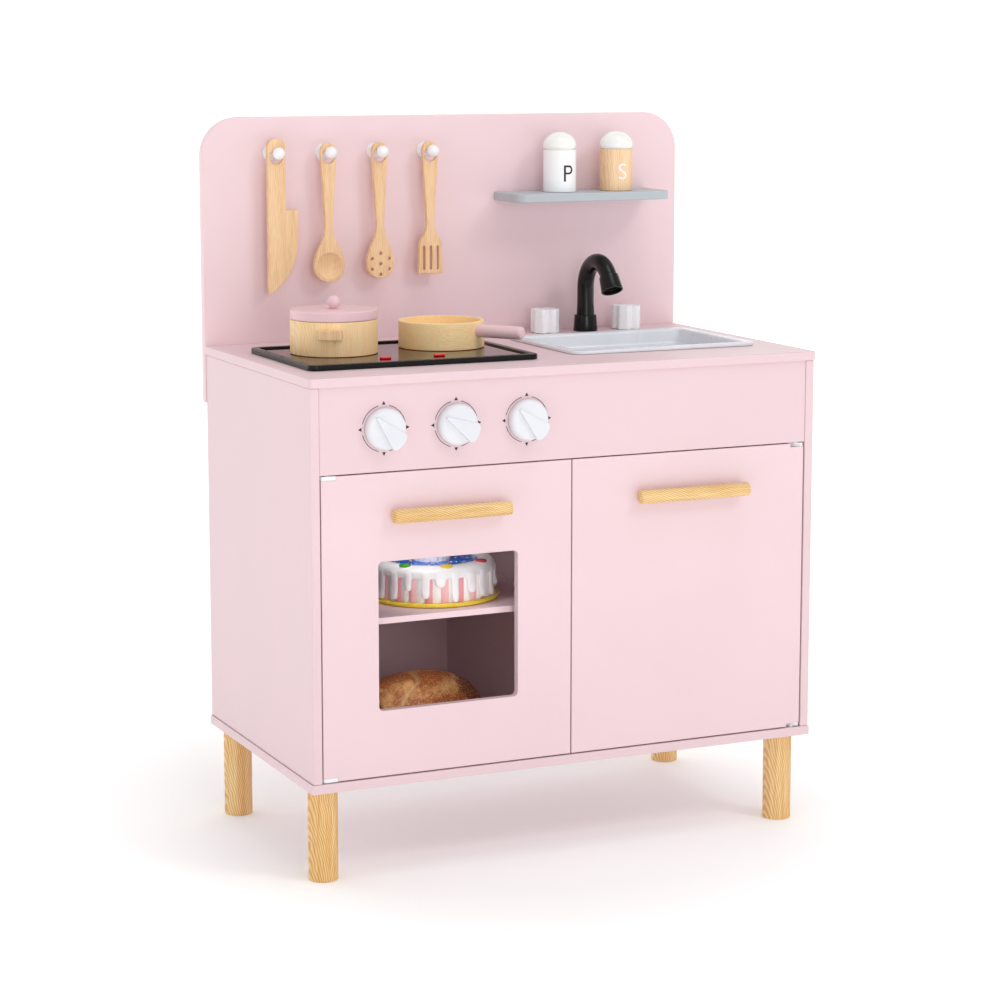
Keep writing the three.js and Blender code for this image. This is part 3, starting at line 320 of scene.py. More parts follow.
knob_white = moulded("knob_white", tone(228, 229, 234), tone(222, 223, 229), 0.32)
hook_white = moulded("hook_white", tone(245, 245, 247), tone(239, 239, 242), 0.22)
hinge_white = moulded("hinge_white", tone(240, 241, 243), tone(232, 233, 236), 0.5)
sink_white = moulded("sink_white", tone(229, 231, 237), tone(221, 223, 230), 0.25)
tap_white = moulded("tap_white", tone(251, 253, 255), tone(246, 248, 252), 0.3)
shaker_white = moulded("shaker_white", tone(250, 250, 251), tone(245, 245, 247), 0.4)
cap_white = moulded("cap_white", tone(247, 247, 244), tone(240, 240, 236), 0.12)
faucet_black = moulded("faucet_black", tone(13, 13, 14), tone(9, 9, 10), 0.2, Specular_IOR_Level=0.32)
frame_black = moulded("hob_frame_black", tone(13, 12, 13), tone(9, 9, 9), 0.25, Specular_IOR_Level=0.3)
glass_black = moulded("hob_glass_black", tone(24, 18, 19), tone(19, 14, 15), 0.05, 0.000003)
icing_white = moulded("icing_white", tone(250, 248, 249), tone(243, 240, 242), 0.16, 0.00002)
ring_yellow = moulded("cake_ring_yellow", tone(246, 218, 74), tone(238, 205, 58), 0.25)
dip_blue = moulded("cake_blue", tone(42, 108, 206), tone(30, 84, 178), 0.25)
zinc = moulded("zinc_plate", tone(186, 186, 188), tone(164, 164, 168), 0.35, Metallic=1.0)
print("plastic finishes:", len(bpy.data.materials), "materials in all so far")

# %% [markdown]
# Most pieces are one of four shapes: a flat board or plate with an outline, a turned piece with a
# profile, a dished piece lofted through rounded rectangles, or a rounded copy of the solid itself.
# Real edges are never razor sharp, so all four give every edge a small round that catches the light.


# %% Helpers for meshes
def link(name, mesh, *materials):
    """Puts a mesh into the scene as a smooth-shaded piece, with sharp edges only where it turns hard."""
    mesh.name = name
    for material in materials:
        mesh.materials.append(material)
    for face in mesh.polygons:
        face.use_smooth = True
    mesh.set_sharp_from_angle(angle=math.radians(38))
    return put(name, mesh)


def plain_mesh(shape):
    """A bmesh as a mesh, just as it is."""
    mesh = bpy.data.meshes.new("made")
    shape.to_mesh(mesh)
    shape.free()
    return mesh


def mesh_from(shape):
    """A closed bmesh as a mesh whose faces point out."""
    bmesh.ops.remove_doubles(shape, verts=shape.verts, dist=1e-7)
    bmesh.ops.recalc_face_normals(shape, faces=shape.faces)
    return plain_mesh(shape)


def evaluated(host):
    """What an object's curve, text or modifiers make, as a mesh."""
    graph = bpy.context.evaluated_depsgraph_get()
    return bpy.data.meshes.new_from_object(host.evaluated_get(graph))


def in_mm(points):
    """Turns points in millimetres into points in metres."""
    return [(x * MM, y * MM) for x, y in points]


def settle(piece, *nodes, replace=True):
    """Rides a piece on the body of its first node, in place of those nodes."""
    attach(piece, body_of[nodes[0]])
    if replace:
        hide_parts(*nodes)
    return piece


def box_of(node):
    """A solid's lowest and highest corners and its middle."""
    low, high = (Vector(corner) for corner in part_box(node))
    return low, high, (low + high) / 2


def foot_of(node):
    """The middle of a solid's underside."""
    low, _, centre = box_of(node)
    return Vector((centre.x, centre.y, low.z))


def even_light(piece):
    """Keeps large flat faces flat-looking beside their rounded edges."""
    piece.modifiers.new("even", "WEIGHTED_NORMAL").keep_sharp = True
    return piece


def rounded_copy(node, material, edge):
    """A copy of a solid with every hard edge rounded."""
    shape = bmesh.new()
    shape.from_mesh(frame["nodes"][node].data)
    bmesh.ops.remove_doubles(shape, verts=shape.verts, dist=1e-6)
    bmesh.ops.dissolve_limit(shape, angle_limit=math.radians(1), verts=shape.verts, edges=shape.edges)
    piece = link(node + "_look", plain_mesh(shape), material)
    rounding = piece.modifiers.new("round", "BEVEL")
    rounding.width = edge
    rounding.segments = 3
    rounding.limit_method = "ANGLE"
    rounding.angle_limit = math.radians(32)
    rounding.use_clamp_overlap = True
    even_light(piece)
    return settle(piece, node)


def rounded_rect(low, high, radii, steps=10):
    """Points round a rectangle, anticlockwise, with a radius for each corner from low-left on."""
    (x0, y0), (x1, y1) = low, high
    spots = [(x0, y0, 1, 1, 180), (x1, y0, -1, 1, 270), (x1, y1, -1, -1, 0), (x0, y1, 1, -1, 90)]
    points = []
    for (x, y, sx, sy, first), radius in zip(spots, radii):
        if radius <= 0:
            points.append((x, y))
            continue
        for i in range(steps + 1):
            angle = math.radians(first + 90 * i / steps)
            points.append((x + radius * (sx + math.cos(angle)), y + radius * (sy + math.sin(angle))))
    return points


def circle(x, y, radius, steps=40):
    turns = [2 * math.pi * i / steps for i in range(steps)]
    return [(x + radius * math.cos(a), y + radius * math.sin(a)) for a in turns]


def plate_mesh(outlines, span, edge, facing="Z"):
    """A plate as a filled flat curve with rounded edges. The first outline is the outer one and the
    others are holes. Facing Y, outlines are in x and z, and the span is in y."""
    curve = bpy.data.curves.new("plate", "CURVE")
    curve.dimensions = "2D"
    curve.fill_mode = "BOTH"
    curve.extrude = (span[1] - span[0]) / 2 - edge
    curve.bevel_depth = edge
    curve.bevel_resolution = 3
    curve.offset = -edge
    for outline in outlines:
        spline = curve.splines.new("POLY")
        spline.points.add(len(outline) - 1)
        for point, (u, v) in zip(spline.points, outline):
            point.co = (u, v, 0, 1)
        spline.use_cyclic_u = True
    host = put("plate", curve)
    mesh = evaluated(host)
    bpy.data.objects.remove(host)
    middle = (span[0] + span[1]) / 2
    if facing == "Z":
        mesh.transform(Matrix.Translation((0, 0, middle)))
    else:
        mesh.transform(Matrix.Translation((0, middle, 0)) @ Matrix.Rotation(math.radians(90), 4, "X"))
    shape = bmesh.new()
    shape.from_mesh(mesh)
    bpy.data.meshes.remove(mesh)
    return mesh_from(shape)


def plate(name, outlines, span, edge, material, facing="Z"):
    return even_light(link(name, plate_mesh(outlines, span, edge, facing), material))


def eased(profile, radius, steps=4):
    """Rounds the inner corners of a profile, each by the radius or by what its sides allow."""
    points = [Vector(p) for p in profile]
    out = [points[0]]
    for before, corner, after in zip(points, points[1:], points[2:]):
        one, two = before - corner, after - corner
        cut = min(radius, one.length * 0.45, two.length * 0.45)
        if one.angle(two) > math.radians(165) or cut < 1e-6:
            out.append(corner)
            continue
        a, b = corner + one.normalized() * cut, corner + two.normalized() * cut
        for i in range(steps + 1):
            t = i / steps
            out.append(a.lerp(corner, t).lerp(corner.lerp(b, t), t))
    return out + [points[-1]]


def turned_mesh(profile, steps=72, matrix=None):
    """A solid turned about Z from (radius, height) points that start and end on the axis."""
    shape = bmesh.new()
    rings = []
    for radius, height in profile:
        if radius < 1e-6:
            rings.append([shape.verts.new((0, 0, height))])
            continue
        turns = [2 * math.pi * i / steps for i in range(steps)]
        rings.append([shape.verts.new((radius * math.cos(a), radius * math.sin(a), height)) for a in turns])
    for low, high in zip(rings, rings[1:]):
        for i in range(steps):
            j = (i + 1) % steps
            corners = [low[i % len(low)], low[j % len(low)], high[j % len(high)], high[i % len(high)]]
            shape.faces.new(list(dict.fromkeys(corners)))
    if matrix is not None:
        shape.transform(matrix)
    return mesh_from(shape)


def turned(name, profile, centre, material, edge=0.8 * MM, steps=72, tip=None):
    """A turned piece stood at a point, tipped by a rotation if its axis isn't upright."""
    matrix = Matrix.Translation(centre) @ (tip or Matrix.Identity(4))
    return link(name, turned_mesh(eased(profile, edge), steps, matrix), material)


def join_rows(shape, rows, closed=False):
    """Faces between each row of points and the next; closed joins the last row to the first too."""
    for low, high in zip(rows, rows[1:] + rows[:1] if closed else rows[1:]):
        for i in range(len(low)):
            j = (i + 1) % len(low)
            shape.faces.new((low[i], low[j], high[j], high[i]))


def lofted(name, loops, material):
    """A closed piece through loops of points, with a flat cap on the first and the last."""
    shape = bmesh.new()
    rows = [[shape.verts.new(point) for point in loop] for loop in loops]
    join_rows(shape, rows)
    shape.faces.new(rows[0][::-1])
    shape.faces.new(rows[-1])
    return link(name, mesh_from(shape), material)


def dished(name, node, levels, corner, material):
    """A dish or tray inside a solid's plan: levels are (inset, height) pairs from underneath to inside."""
    low, high, _ = box_of(node)
    loops = []
    for inset, height in levels:
        round_off = max(corner - inset * 0.55, 2 * MM)
        ring = rounded_rect((low.x + inset, low.y + inset), (high.x - inset, high.y - inset), [round_off] * 4)
        loops.append([(x, y, height) for x, y in ring])
    return even_light(lofted(name, loops, material))


print("mesh helpers ready")

# %% [markdown]
# **Geometry Nodes helpers.** What repeats is grown by a tree of geometry nodes: copies round a ring, a
# row of copies, bits scattered on a disc, and a tube along a path. A tree ends by making its instances
# real and setting a material. `grow` runs a tree once and keeps the result as a plain mesh.


# %% Helpers for Geometry Nodes
def new_tree(name, inputs):
    """An empty geometry tree with a geometry input, named inputs and a geometry output."""
    tree = bpy.data.node_groups.new(name, "GeometryNodeTree")
    tree.interface.new_socket("Geometry", in_out="INPUT", socket_type="NodeSocketGeometry")
    for label, kind in inputs:
        tree.interface.new_socket(label, in_out="INPUT", socket_type="NodeSocket" + kind)
    tree.interface.new_socket("Geometry", in_out="OUTPUT", socket_type="NodeSocketGeometry")
    return tree, tree.nodes.new("NodeGroupInput").outputs


def close_tree(tree, geometry, material):
    """Ends a tree: real copies, one material, output."""
    real = add(tree, "GeometryNodeRealizeInstances", {0: geometry})
    dressed = add(tree, "GeometryNodeSetMaterial", {"Geometry": real.outputs[0], "Material": material})
    add(tree, "NodeGroupOutput", {0: dressed.outputs[0]})
    return tree


def grow(name, tree, values, matrix, host=None):
    """Runs a tree, moves what it makes to its place and links it as a piece."""
    if host is None:
        host = put("host", bpy.data.meshes.new("host"))
    modifier = host.modifiers.new("grow", "NODES")
    modifier.node_group = tree
    for item in tree.interface.items_tree:
        if item.item_type == "SOCKET" and item.in_out == "INPUT" and item.name in values:
            modifier[item.identifier] = values[item.name]
    graph = bpy.context.evaluated_depsgraph_get()
    mesh = bpy.data.meshes.new_from_object(host.evaluated_get(graph), depsgraph=graph)
    host.modifiers.remove(modifier)
    bpy.data.objects.remove(host)
    mesh.transform(matrix)
    shape = bmesh.new()
    shape.from_mesh(mesh)
    bmesh.ops.remove_doubles(shape, verts=shape.verts, dist=1e-7)
    bmesh.ops.recalc_face_normals(shape, faces=shape.faces)
    shape.to_mesh(mesh)
    shape.free()
    return link(name, mesh)


ring_tree, given = new_tree(
    "copies_round_a_ring",
    [("Shape", "Object"), ("Count", "Int"), ("Radius", "Float"), ("First Turn", "Float"),
     ("Shortest", "Float"), ("Seed", "Int"), ("Material", "Material")],
)
spots = add(ring_tree, "GeometryNodeMeshLine", {"Count": given["Count"], "Offset": (0, 0, 0)})
number = add(ring_tree, "GeometryNodeInputIndex").outputs[0]
step = maths(ring_tree, "DIVIDE", 2 * math.pi, given["Count"])
angle = maths(ring_tree, "MULTIPLY_ADD", number, step, given["First Turn"])
east = maths(ring_tree, "MULTIPLY", maths(ring_tree, "COSINE", angle), given["Radius"])
north = maths(ring_tree, "MULTIPLY", maths(ring_tree, "SINE", angle), given["Radius"])
where = add(ring_tree, "ShaderNodeCombineXYZ", {0: east, 1: north})
inputs = {"Geometry": spots.outputs[0], "Position": where.outputs[0]}
moved = add(ring_tree, "GeometryNodeSetPosition", inputs)
shape_info = add(ring_tree, "GeometryNodeObjectInfo", {"Object": given["Shape"]})
turned_by = add(ring_tree, "ShaderNodeCombineXYZ", {2: angle})
length = add(ring_tree, "FunctionNodeRandomValue", {2: given["Shortest"], 3: 1.0, "Seed": given["Seed"]})
stretch = add(ring_tree, "ShaderNodeCombineXYZ", {0: 1.0, 1: 1.0, 2: length.outputs[1]})
copies = add(ring_tree, "GeometryNodeInstanceOnPoints", {
    "Points": moved.outputs[0], "Instance": shape_info.outputs["Geometry"],
    "Rotation": turned_by.outputs[0], "Scale": stretch.outputs[0]})
close_tree(ring_tree, copies.outputs[0], given["Material"])

row_tree, given = new_tree(
    "row_of_copies",
    [("Shape", "Object"), ("Count", "Int"), ("Step", "Vector"), ("Material", "Material")],
)
line = add(row_tree, "GeometryNodeMeshLine", {"Count": given["Count"], "Offset": given["Step"]})
shape_info = add(row_tree, "GeometryNodeObjectInfo", {"Object": given["Shape"]})
inputs = {"Points": line.outputs[0], "Instance": shape_info.outputs["Geometry"]}
copies = add(row_tree, "GeometryNodeInstanceOnPoints", inputs)
close_tree(row_tree, copies.outputs[0], given["Material"])

scatter_tree, given = new_tree(
    "bits_on_a_disc",
    [("Shape", "Object"), ("Outer", "Float"), ("Inner", "Float"), ("Density", "Float"), ("Seed", "Int"),
     ("Material", "Material")],
)
disc = add(scatter_tree, "GeometryNodeMeshCircle", {"Vertices": 64, "Radius": given["Outer"]},
           fill_type="TRIANGLE_FAN")
thrown = add(scatter_tree, "GeometryNodeDistributePointsOnFaces",
             {"Mesh": disc.outputs[0], "Density": given["Density"], "Seed": given["Seed"]})
here = add(scatter_tree, "GeometryNodeInputPosition").outputs[0]
far = add(scatter_tree, "ShaderNodeVectorMath", {0: here}, operation="LENGTH")
close_in = add(scatter_tree, "FunctionNodeCompare", {0: far.outputs["Value"], 1: given["Inner"]},
               operation="LESS_THAN")
kept = add(scatter_tree, "GeometryNodeDeleteGeometry",
           {"Geometry": thrown.outputs[0], "Selection": close_in.outputs[0]})
spin = add(scatter_tree, "FunctionNodeRandomValue", {2: 0.0, 3: 2 * math.pi, "Seed": given["Seed"]})
turned_by = add(scatter_tree, "ShaderNodeCombineXYZ", {2: spin.outputs[1]})
shape_info = add(scatter_tree, "GeometryNodeObjectInfo", {"Object": given["Shape"]})
copies = add(scatter_tree, "GeometryNodeInstanceOnPoints", {
    "Points": kept.outputs[0], "Instance": shape_info.outputs["Geometry"], "Rotation": turned_by.outputs[0]})
close_tree(scatter_tree, copies.outputs[0], given["Material"])

tube_tree, given = new_tree(
    "tube_along_a_path", [("Sides", "Int"), ("Radius", "Float"), ("Material", "Material")]
)
inputs = {"Resolution": given["Sides"], "Radius": given["Radius"]}
ring = add(tube_tree, "GeometryNodeCurvePrimitiveCircle", inputs)
inputs = {"Curve": given["Geometry"], "Profile Curve": ring.outputs[0], "Fill Caps": True}
radius_field = add(tube_tree, "GeometryNodeInputRadius").outputs[0]
pipe = add(tube_tree, "GeometryNodeCurveToMesh", inputs)
if "Scale" in pipe.inputs:
    tube_tree.links.new(radius_field, pipe.inputs["Scale"])
close_tree(tube_tree, pipe.outputs[0], given["Material"])
print("geometry trees:", [tree.name for tree in bpy.data.node_groups if tree.type == "GEOMETRY"])

# %% [markdown]
# **Boards.** The flat boards are cut from MDF and their edges eased before painting. The straight ones
# are rounded copies of their solids. The splashback, the wall shelf and the doors have curved corners,
# so they are drawn as outlines and given the same eased edge.

# %% Straight boards
# The straight outer boards take the darkest pink tone, painted shade, and the oven shelf takes the brightest,
# painted light.
BOARDS = (("worktop", pink_in_shade_paint, 0.9), ("side_panel_left", pink_in_shade_paint, 0.9),
          ("side_panel_right", pink_in_shade_paint, 0.9), ("bottom_panel", pink_in_shade_paint, 0.7),
          ("fascia_panel", pink_in_shade_paint, 0.7), ("oven_shelf", pink_in_light_paint, 0.7),
          # The back board and divider take the darker inside copy of the pink, painted shade.
          ("cabinet_back", pink_inside_shade_paint, 0.5), ("divider_panel", pink_inside_shade_paint, 0.5))
for node, paint, edge in BOARDS:
    rounded_copy(node, paint, edge * MM)
print("straight boards:", len(BOARDS))

# %% Splashback and wall shelf
# The splashback takes the brightest pink tone, painted light.
low, high, _ = box_of("splashback")
outline = rounded_rect((low.x, low.z), (high.x, high.z), [1 * MM, 1 * MM, 44 * MM, 44 * MM], 24)
settle(plate("splashback_look", [outline], (low.y, high.y), 1.2 * MM, pink_in_light_paint, "Y"), "splashback")
low, high, _ = box_of("wall_shelf")
outline = rounded_rect((low.x, low.y), (high.x, high.y), [15 * MM, 15 * MM, 0, 0], 16)
settle(plate("wall_shelf_look", [outline], (low.z, high.z), 1.2 * MM, grey_paint), "wall_shelf")
print("splashback and shelf with rounded corners")

# %% [markdown]
# **Doors.** Each door is one board with two notches for its hinge blocks, and the oven door has a window
# cut right through it. The handle is a turned ash bar on two short posts.

# %% Doors with their hinges, catches and handles
WINDOW_CORNER, WINDOW_SIDE, WINDOW_TALL = 5 * MM, 161 * MM, 160 * MM
for door, side in (("oven_door", -1), ("cupboard_door", 1)):
    low, high, centre = box_of(door)
    low, high = low + Vector((0, 0, 0.35)) * MM, high - Vector((0, 0, 0.35)) * MM
    hinge_low, hinge_high, _ = box_of(door + "_hinge_low")
    notch = hinge_high.x - hinge_low.x + 0.1 * MM
    step_low = hinge_high.z + 0.1 * MM
    step_high = box_of(door + "_hinge_high")[0].z - 0.1 * MM
    outer, inner = (low.x, high.x) if side < 0 else (high.x, low.x)
    cut = outer - side * notch
    outline = [(inner, low.z), (cut, low.z), (cut, step_low), (outer, step_low),
               (outer, step_high), (cut, step_high), (cut, high.z), (inner, high.z)]
    if side < 0:
        outline = outline[::-1]
    outlines = [outline]
    if door == "oven_door":
        sill = low.z + 70.6 * MM
        half = WINDOW_SIDE / 2
        window = rounded_rect((centre.x - half, sill), (centre.x + half, sill + WINDOW_TALL),
                              [WINDOW_CORNER] * 4)
        outlines.append(window[::-1])
    # The doors take the middle pink tone, painted light set to how the doors are lit.
    settle(plate(door + "_look", outlines, (low.y, high.y), 0.4 * MM, pink_half_lit_paint, "Y"), door)
    for end in ("_hinge_low", "_hinge_high", "_catch"):
        rounded_copy(door + end, hinge_white, 0.35 * MM)
    rounded_copy(door + "_strike", zinc, 0.25 * MM)
    for end in ("_handle_spacer_left", "_handle_spacer_right"):
        rounded_copy(door + end, hinge_white, 0.3 * MM)
    low, high, centre = box_of(door + "_handle")
    half, radius = (high.x - low.x) / 2, 7.5 * MM
    profile = [(0, -half), (radius, -half), (radius, half), (0, half)]
    lying = Matrix.Rotation(math.radians(90), 4, "Y")
    bar = turned(door + "_handle_look", profile, centre, handle_wood, 2.2 * MM, 48, lying)
    settle(bar, door + "_handle")
print("doors, hinges, catches and handles made")

# %% [markdown]
# **Legs.** Four turned ash posts with eased ends. They are turned from a profile, and their grain runs
# up the leg.

# %% Legs
for corner in ("front_left", "front_right", "back_left", "back_right"):
    low, high, centre = box_of("leg_" + corner)
    foot = Vector((centre.x, centre.y, 0))
    top = box_of("bottom_panel")[0].z - 0.2 * MM
    profile = [(0, 0), (16 * MM, 0), (16 * MM, top), (0, top)]
    leg = turned("leg_%s_look" % corner, profile, foot, leg_wood, 1.8 * MM, 64)
    settle(leg, "leg_" + corner)
print("legs made, top at", round(top, 4))

# %% [markdown]
# **Control knobs and their printed dials.** A knob is a shallow domed disc with a wedge grip: a sharp
# ridge runs from one side to past the rim on the other, and falls gently away on one side of it. The
# dial printed round each knob is four thin arcs and four small arrowheads, so one ring tree places both.


# %% Knobs
def wedge_mesh(span):
    """The grip, drawn flat and then sloped away from its ridge."""
    tip, wide = -18.3 * MM, 17.6 * MM
    points = [(tip, 1.3 * MM), (tip - 0.6 * MM, 0), (tip, -1.3 * MM), (wide, -11.2 * MM)]
    for i in range(1, 12):
        angle = math.radians(-74 + 148 * i / 12)
        points.append((wide - 0.6 * MM + 6.2 * MM * math.cos(angle), 11.4 * MM * math.sin(angle)))
    points.append((wide, 11.2 * MM))
    mesh = plate_mesh([points], span, 1.0 * MM)
    for vertex in mesh.vertices:
        if vertex.co.z > (span[0] + span[1]) / 2:
            away = 0.262 * (vertex.co.x - tip) + 0.965 * (vertex.co.y + 1.3 * MM)
            vertex.co.z -= 0.2 * max(away, 0) + 0.05 * (wide - vertex.co.x)
    return mesh


KNOB_TURNS = {"left": -46, "middle": -29, "right": -43}
facing_front = Matrix.Rotation(math.radians(90), 4, "X")
front_y = box_of("fascia_panel")[0].y
spindle_of = {}
for name, degrees in KNOB_TURNS.items():
    joint = next(j for j in record["behaviour"]["joints"] if j["name"] == "knob_%s_turn" % name)
    spot = Vector(joint["pos_m"])
    spindle_of[name] = Vector((spot.x, front_y, spot.z))
    radius = 22 * MM
    profile = [(0, 0), (radius - 0.6 * MM, 0), (radius, 1 * MM), (radius, 7 * MM),
               (radius - 2.2 * MM, 9.8 * MM), (radius - 8 * MM, 11.2 * MM), (0, 11.9 * MM)]
    shape = bmesh.new()
    shape.from_mesh(turned_mesh(eased(profile, 2.5 * MM, 5), 96))
    shape.from_mesh(wedge_mesh((3 * MM, 16.2 * MM)))
    shape.transform(Matrix.Translation(spindle_of[name] + Vector((0, -0.8 * MM, 0)))
                    @ facing_front @ Matrix.Rotation(math.radians(degrees), 4, "Z"))
    settle(even_light(link("knob_%s_look" % name, plain_mesh(shape), knob_white)), "control_knob_" + name)
print("knobs made, wedge ridges at", KNOB_TURNS)

# %% Dials printed on the fascia
PRINT = 0.12 * MM
arrow = plate_mesh([[(0, -2.1 * MM), (3.9 * MM, 0), (0, 2.1 * MM)]], (0, PRINT), 0.01 * MM)
arrow_shape = put("arrow", arrow)
arc = [math.radians(-31 + 62 * i / 24) for i in range(25)]
band = [(24.9 * MM * math.cos(a), 24.9 * MM * math.sin(a)) for a in arc]
band += [(24.2 * MM * math.cos(a), 24.2 * MM * math.sin(a)) for a in reversed(arc)]
arc_shape = put("arc", plate_mesh([band], (0, PRINT), 0.01 * MM))
for name, spot in spindle_of.items():
    place = Matrix.Translation(spot + Vector((0, 0.02 * MM, 0))) @ facing_front
    common = {"Count": 4, "Shortest": 1.0, "Seed": 1, "Material": dark_print}
    arrows = {**common, "Shape": arrow_shape, "Radius": 25.0 * MM, "First Turn": 0.0}
    arcs = {**common, "Shape": arc_shape, "Radius": 0.0, "First Turn": math.pi / 4}
    settle(grow("dial_%s_arrows" % name, ring_tree, arrows, place), "fascia_panel", replace=False)
    settle(grow("dial_%s_arcs" % name, ring_tree, arcs, place), "fascia_panel", replace=False)
bpy.data.objects.remove(arrow_shape)
bpy.data.objects.remove(arc_shape)
print("dials: 3 of 4 arrows and 4 arcs")

# %% [markdown]
# **Hob.** A raised black frame with rounded corners holds a glossy dark plate. Two thin red rings and
# two red bars are printed on it. The frame is lofted through rounded rectangles, and the plate is its
# own piece, because its gloss is quite different.

# %% Hob
low, high, _ = box_of("hob_tray")
FRAME_WIDTH = 8 * MM
plate_top = high.z - 2 * MM
levels = [(1.5 * MM, low.z), (0.3 * MM, low.z + 0.1 * MM), (0, low.z + 0.8 * MM), (0, high.z - 1.3 * MM),
          (0.4 * MM, high.z - 0.4 * MM), (1.3 * MM, high.z), (FRAME_WIDTH - 1.6 * MM, high.z),
          (FRAME_WIDTH - 0.6 * MM, high.z - 0.4 * MM), (FRAME_WIDTH - 0.1 * MM, plate_top),
          (FRAME_WIDTH, plate_top - 1 * MM), (FRAME_WIDTH + 4 * MM, plate_top - 1.2 * MM)]
settle(dished("hob_frame", "hob_tray", levels, 9 * MM, frame_black), "hob_tray")
inset = FRAME_WIDTH - 0.4 * MM
outline = rounded_rect((low.x + inset, low.y + inset), (high.x - inset, high.y - inset), [5 * MM] * 4)
glass = plate("hob_glass", [outline], (plate_top - 0.9 * MM, plate_top), 0.1 * MM, glass_black)
settle(glass, "hob_tray", replace=False)
RING_INNER, RING_OUTER, INK = 51.6 * MM, 52.3 * MM, 0.06 * MM
for name in ("pot", "pan"):
    middle = box_of(name + "_body")[2]
    profile = [(RING_INNER, 0), (RING_INNER, INK), (RING_OUTER, INK), (RING_OUTER, 0)]
    shape = bmesh.new()
    rows = []
    for radius, height in profile:
        points = circle(middle.x, middle.y, radius, 128)
        rows.append([shape.verts.new((x, y, plate_top + height)) for x, y in points])
    join_rows(shape, rows, closed=True)
    settle(link("hob_ring_" + name, mesh_from(shape), red_print), "hob_tray", replace=False)
bar_y = low.y + 42 * MM
for name, x in (("left", low.x + 102 * MM), ("right", low.x + 165 * MM)):
    corners = (x - 6.4 * MM, bar_y - 3.2 * MM), (x + 6.4 * MM, bar_y + 3.2 * MM)
    outline = rounded_rect(*corners, [2.4 * MM] * 4)
    bar = plate("hob_bar_" + name, [outline], (plate_top, plate_top + 2.2 * MM), 0.8 * MM, red_print)
    settle(bar, "hob_tray", replace=False)
print("hob: frame, plate, 2 rings, 2 bars")

# %% [markdown]
# **Sink, taps and faucet.** The sink is a thin white basin with a soft rolled rim. The taps are
# crosses with soft ends, and the faucet is a black tube bent over in an arc, which a tree sweeps along its
# path. Its mouth is a flared, turned nozzle.

# %% Sink
low, high, _ = box_of("sink_basin")
flange, rim = high.z - 4 * MM, high.z
levels = [(22 * MM, low.z), (12.5 * MM, low.z + 0.4 * MM), (10.2 * MM, low.z + 3 * MM), (10 * MM, flange),
          (0.5 * MM, flange), (0, flange + 0.6 * MM), (0, rim - 2.2 * MM), (0.5 * MM, rim - 0.8 * MM),
          (1.6 * MM, rim - 0.1 * MM), (3 * MM, rim), (8.5 * MM, rim), (10.4 * MM, rim - 0.3 * MM),
          (12 * MM, rim - 1.4 * MM), (12.8 * MM, rim - 3.5 * MM), (14 * MM, low.z + 7 * MM),
          (15.5 * MM, low.z + 4 * MM), (18.5 * MM, low.z + 2.7 * MM), (24 * MM, low.z + 2.5 * MM)]
settle(dished("sink_look", "sink_basin", levels, 14 * MM, sink_white), "sink_basin")
print("sink depth", round(rim - low.z - 2.5 * MM, 4))

# %% Taps
for name in ("left", "right"):
    rounded_copy("tap_" + name, tap_white, 0.8 * MM)
print("taps made")

# %% Faucet
foot = foot_of("faucet_base")
profile = in_mm([(0, 0), (14.5, 0), (13, 19), (10.3, 19), (10.3, 17), (0, 17)])
settle(turned("faucet_collar", profile, foot, faucet_black, 0.9 * MM), "faucet_base")
ARC, COLUMN, BEND = 33 * MM, 51 * MM, 150
path = [(Vector((0, 0, 16 * MM)), 1.08), (Vector((0, 0, 34 * MM)), 1.0)]
for i in range(25):
    angle = math.radians(BEND * i / 24)
    spot = Vector((0, ARC * (math.cos(angle) - 1), COLUMN + ARC * math.sin(angle)))
    path.append((spot, 1.0))
curve = bpy.data.curves.new("spout_path", "CURVE")
curve.dimensions = "3D"
spline = curve.splines.new("POLY")
spline.points.add(len(path) - 1)
for point, (spot, width) in zip(spline.points, path):
    point.co = (*spot, 1)
    point.radius = width
host = put("spout_path", curve)
values = {"Sides": 48, "Radius": 9.9 * MM, "Material": faucet_black}
pipe = grow("spout_pipe", tube_tree, values, Matrix.Translation(foot), host)
settle(pipe, "faucet_spout")
profile = in_mm([(0, -3), (9.6, -3), (11.2, -2.2), (11.6, 1), (13, 17), (10.8, 17), (10.2, 12), (0, 12)])
tip = Matrix.Rotation(math.radians(BEND), 4, "X")
end_spot = foot + path[-1][0]
nozzle = turned("spout_nozzle", profile, end_spot, faucet_black, 0.7 * MM, 64, tip)
settle(nozzle, "faucet_spout", replace=False)
print("faucet made, mouth near", tuple(round(c, 3) for c in end_spot))

# %% [markdown]
# **Hooks and utensils.** A hook is a turned white peg with a domed base and a ball. Each utensil is sawn
# from a thin beech board, so it is a plate with a curved outline, its hanging hole and any other holes.
# The spoon's hollow is cut with a ball, as a rounded cutter would leave it.

# %% Hooks
towards_front = Matrix.Rotation(math.radians(90), 4, "X")
peg_of = []
for number in range(1, 5):
    low, high, centre = box_of("hook_%d" % number)
    board = box_of("splashback")[0].y
    peg_of.append(Vector((centre.x, board, centre.z)))
    profile = [(0, 0), (9.5 * MM, 0), (9.5 * MM, 1.6 * MM), (8.6 * MM, 3.4 * MM), (6.4 * MM, 4.8 * MM),
               (3.4 * MM, 5.4 * MM), (3 * MM, 6.4 * MM), (3 * MM, 20.6 * MM), (3.5 * MM, 21.4 * MM)]
    for i in range(1, 13):
        angle = math.asin(0.5) + (math.pi - math.asin(0.5)) * i / 12
        profile.append((7 * MM * max(math.sin(angle), 0), (27.5 - 7 * math.cos(angle)) * MM))
    profile[-1] = (0, 34.5 * MM)
    hook = turned("hook_%d_look" % number, profile, peg_of[-1], hook_white, 0.4 * MM, 48, towards_front)
    settle(hook, "hook_%d" % number)
print("hooks at", [round(p.x, 4) for p in peg_of])


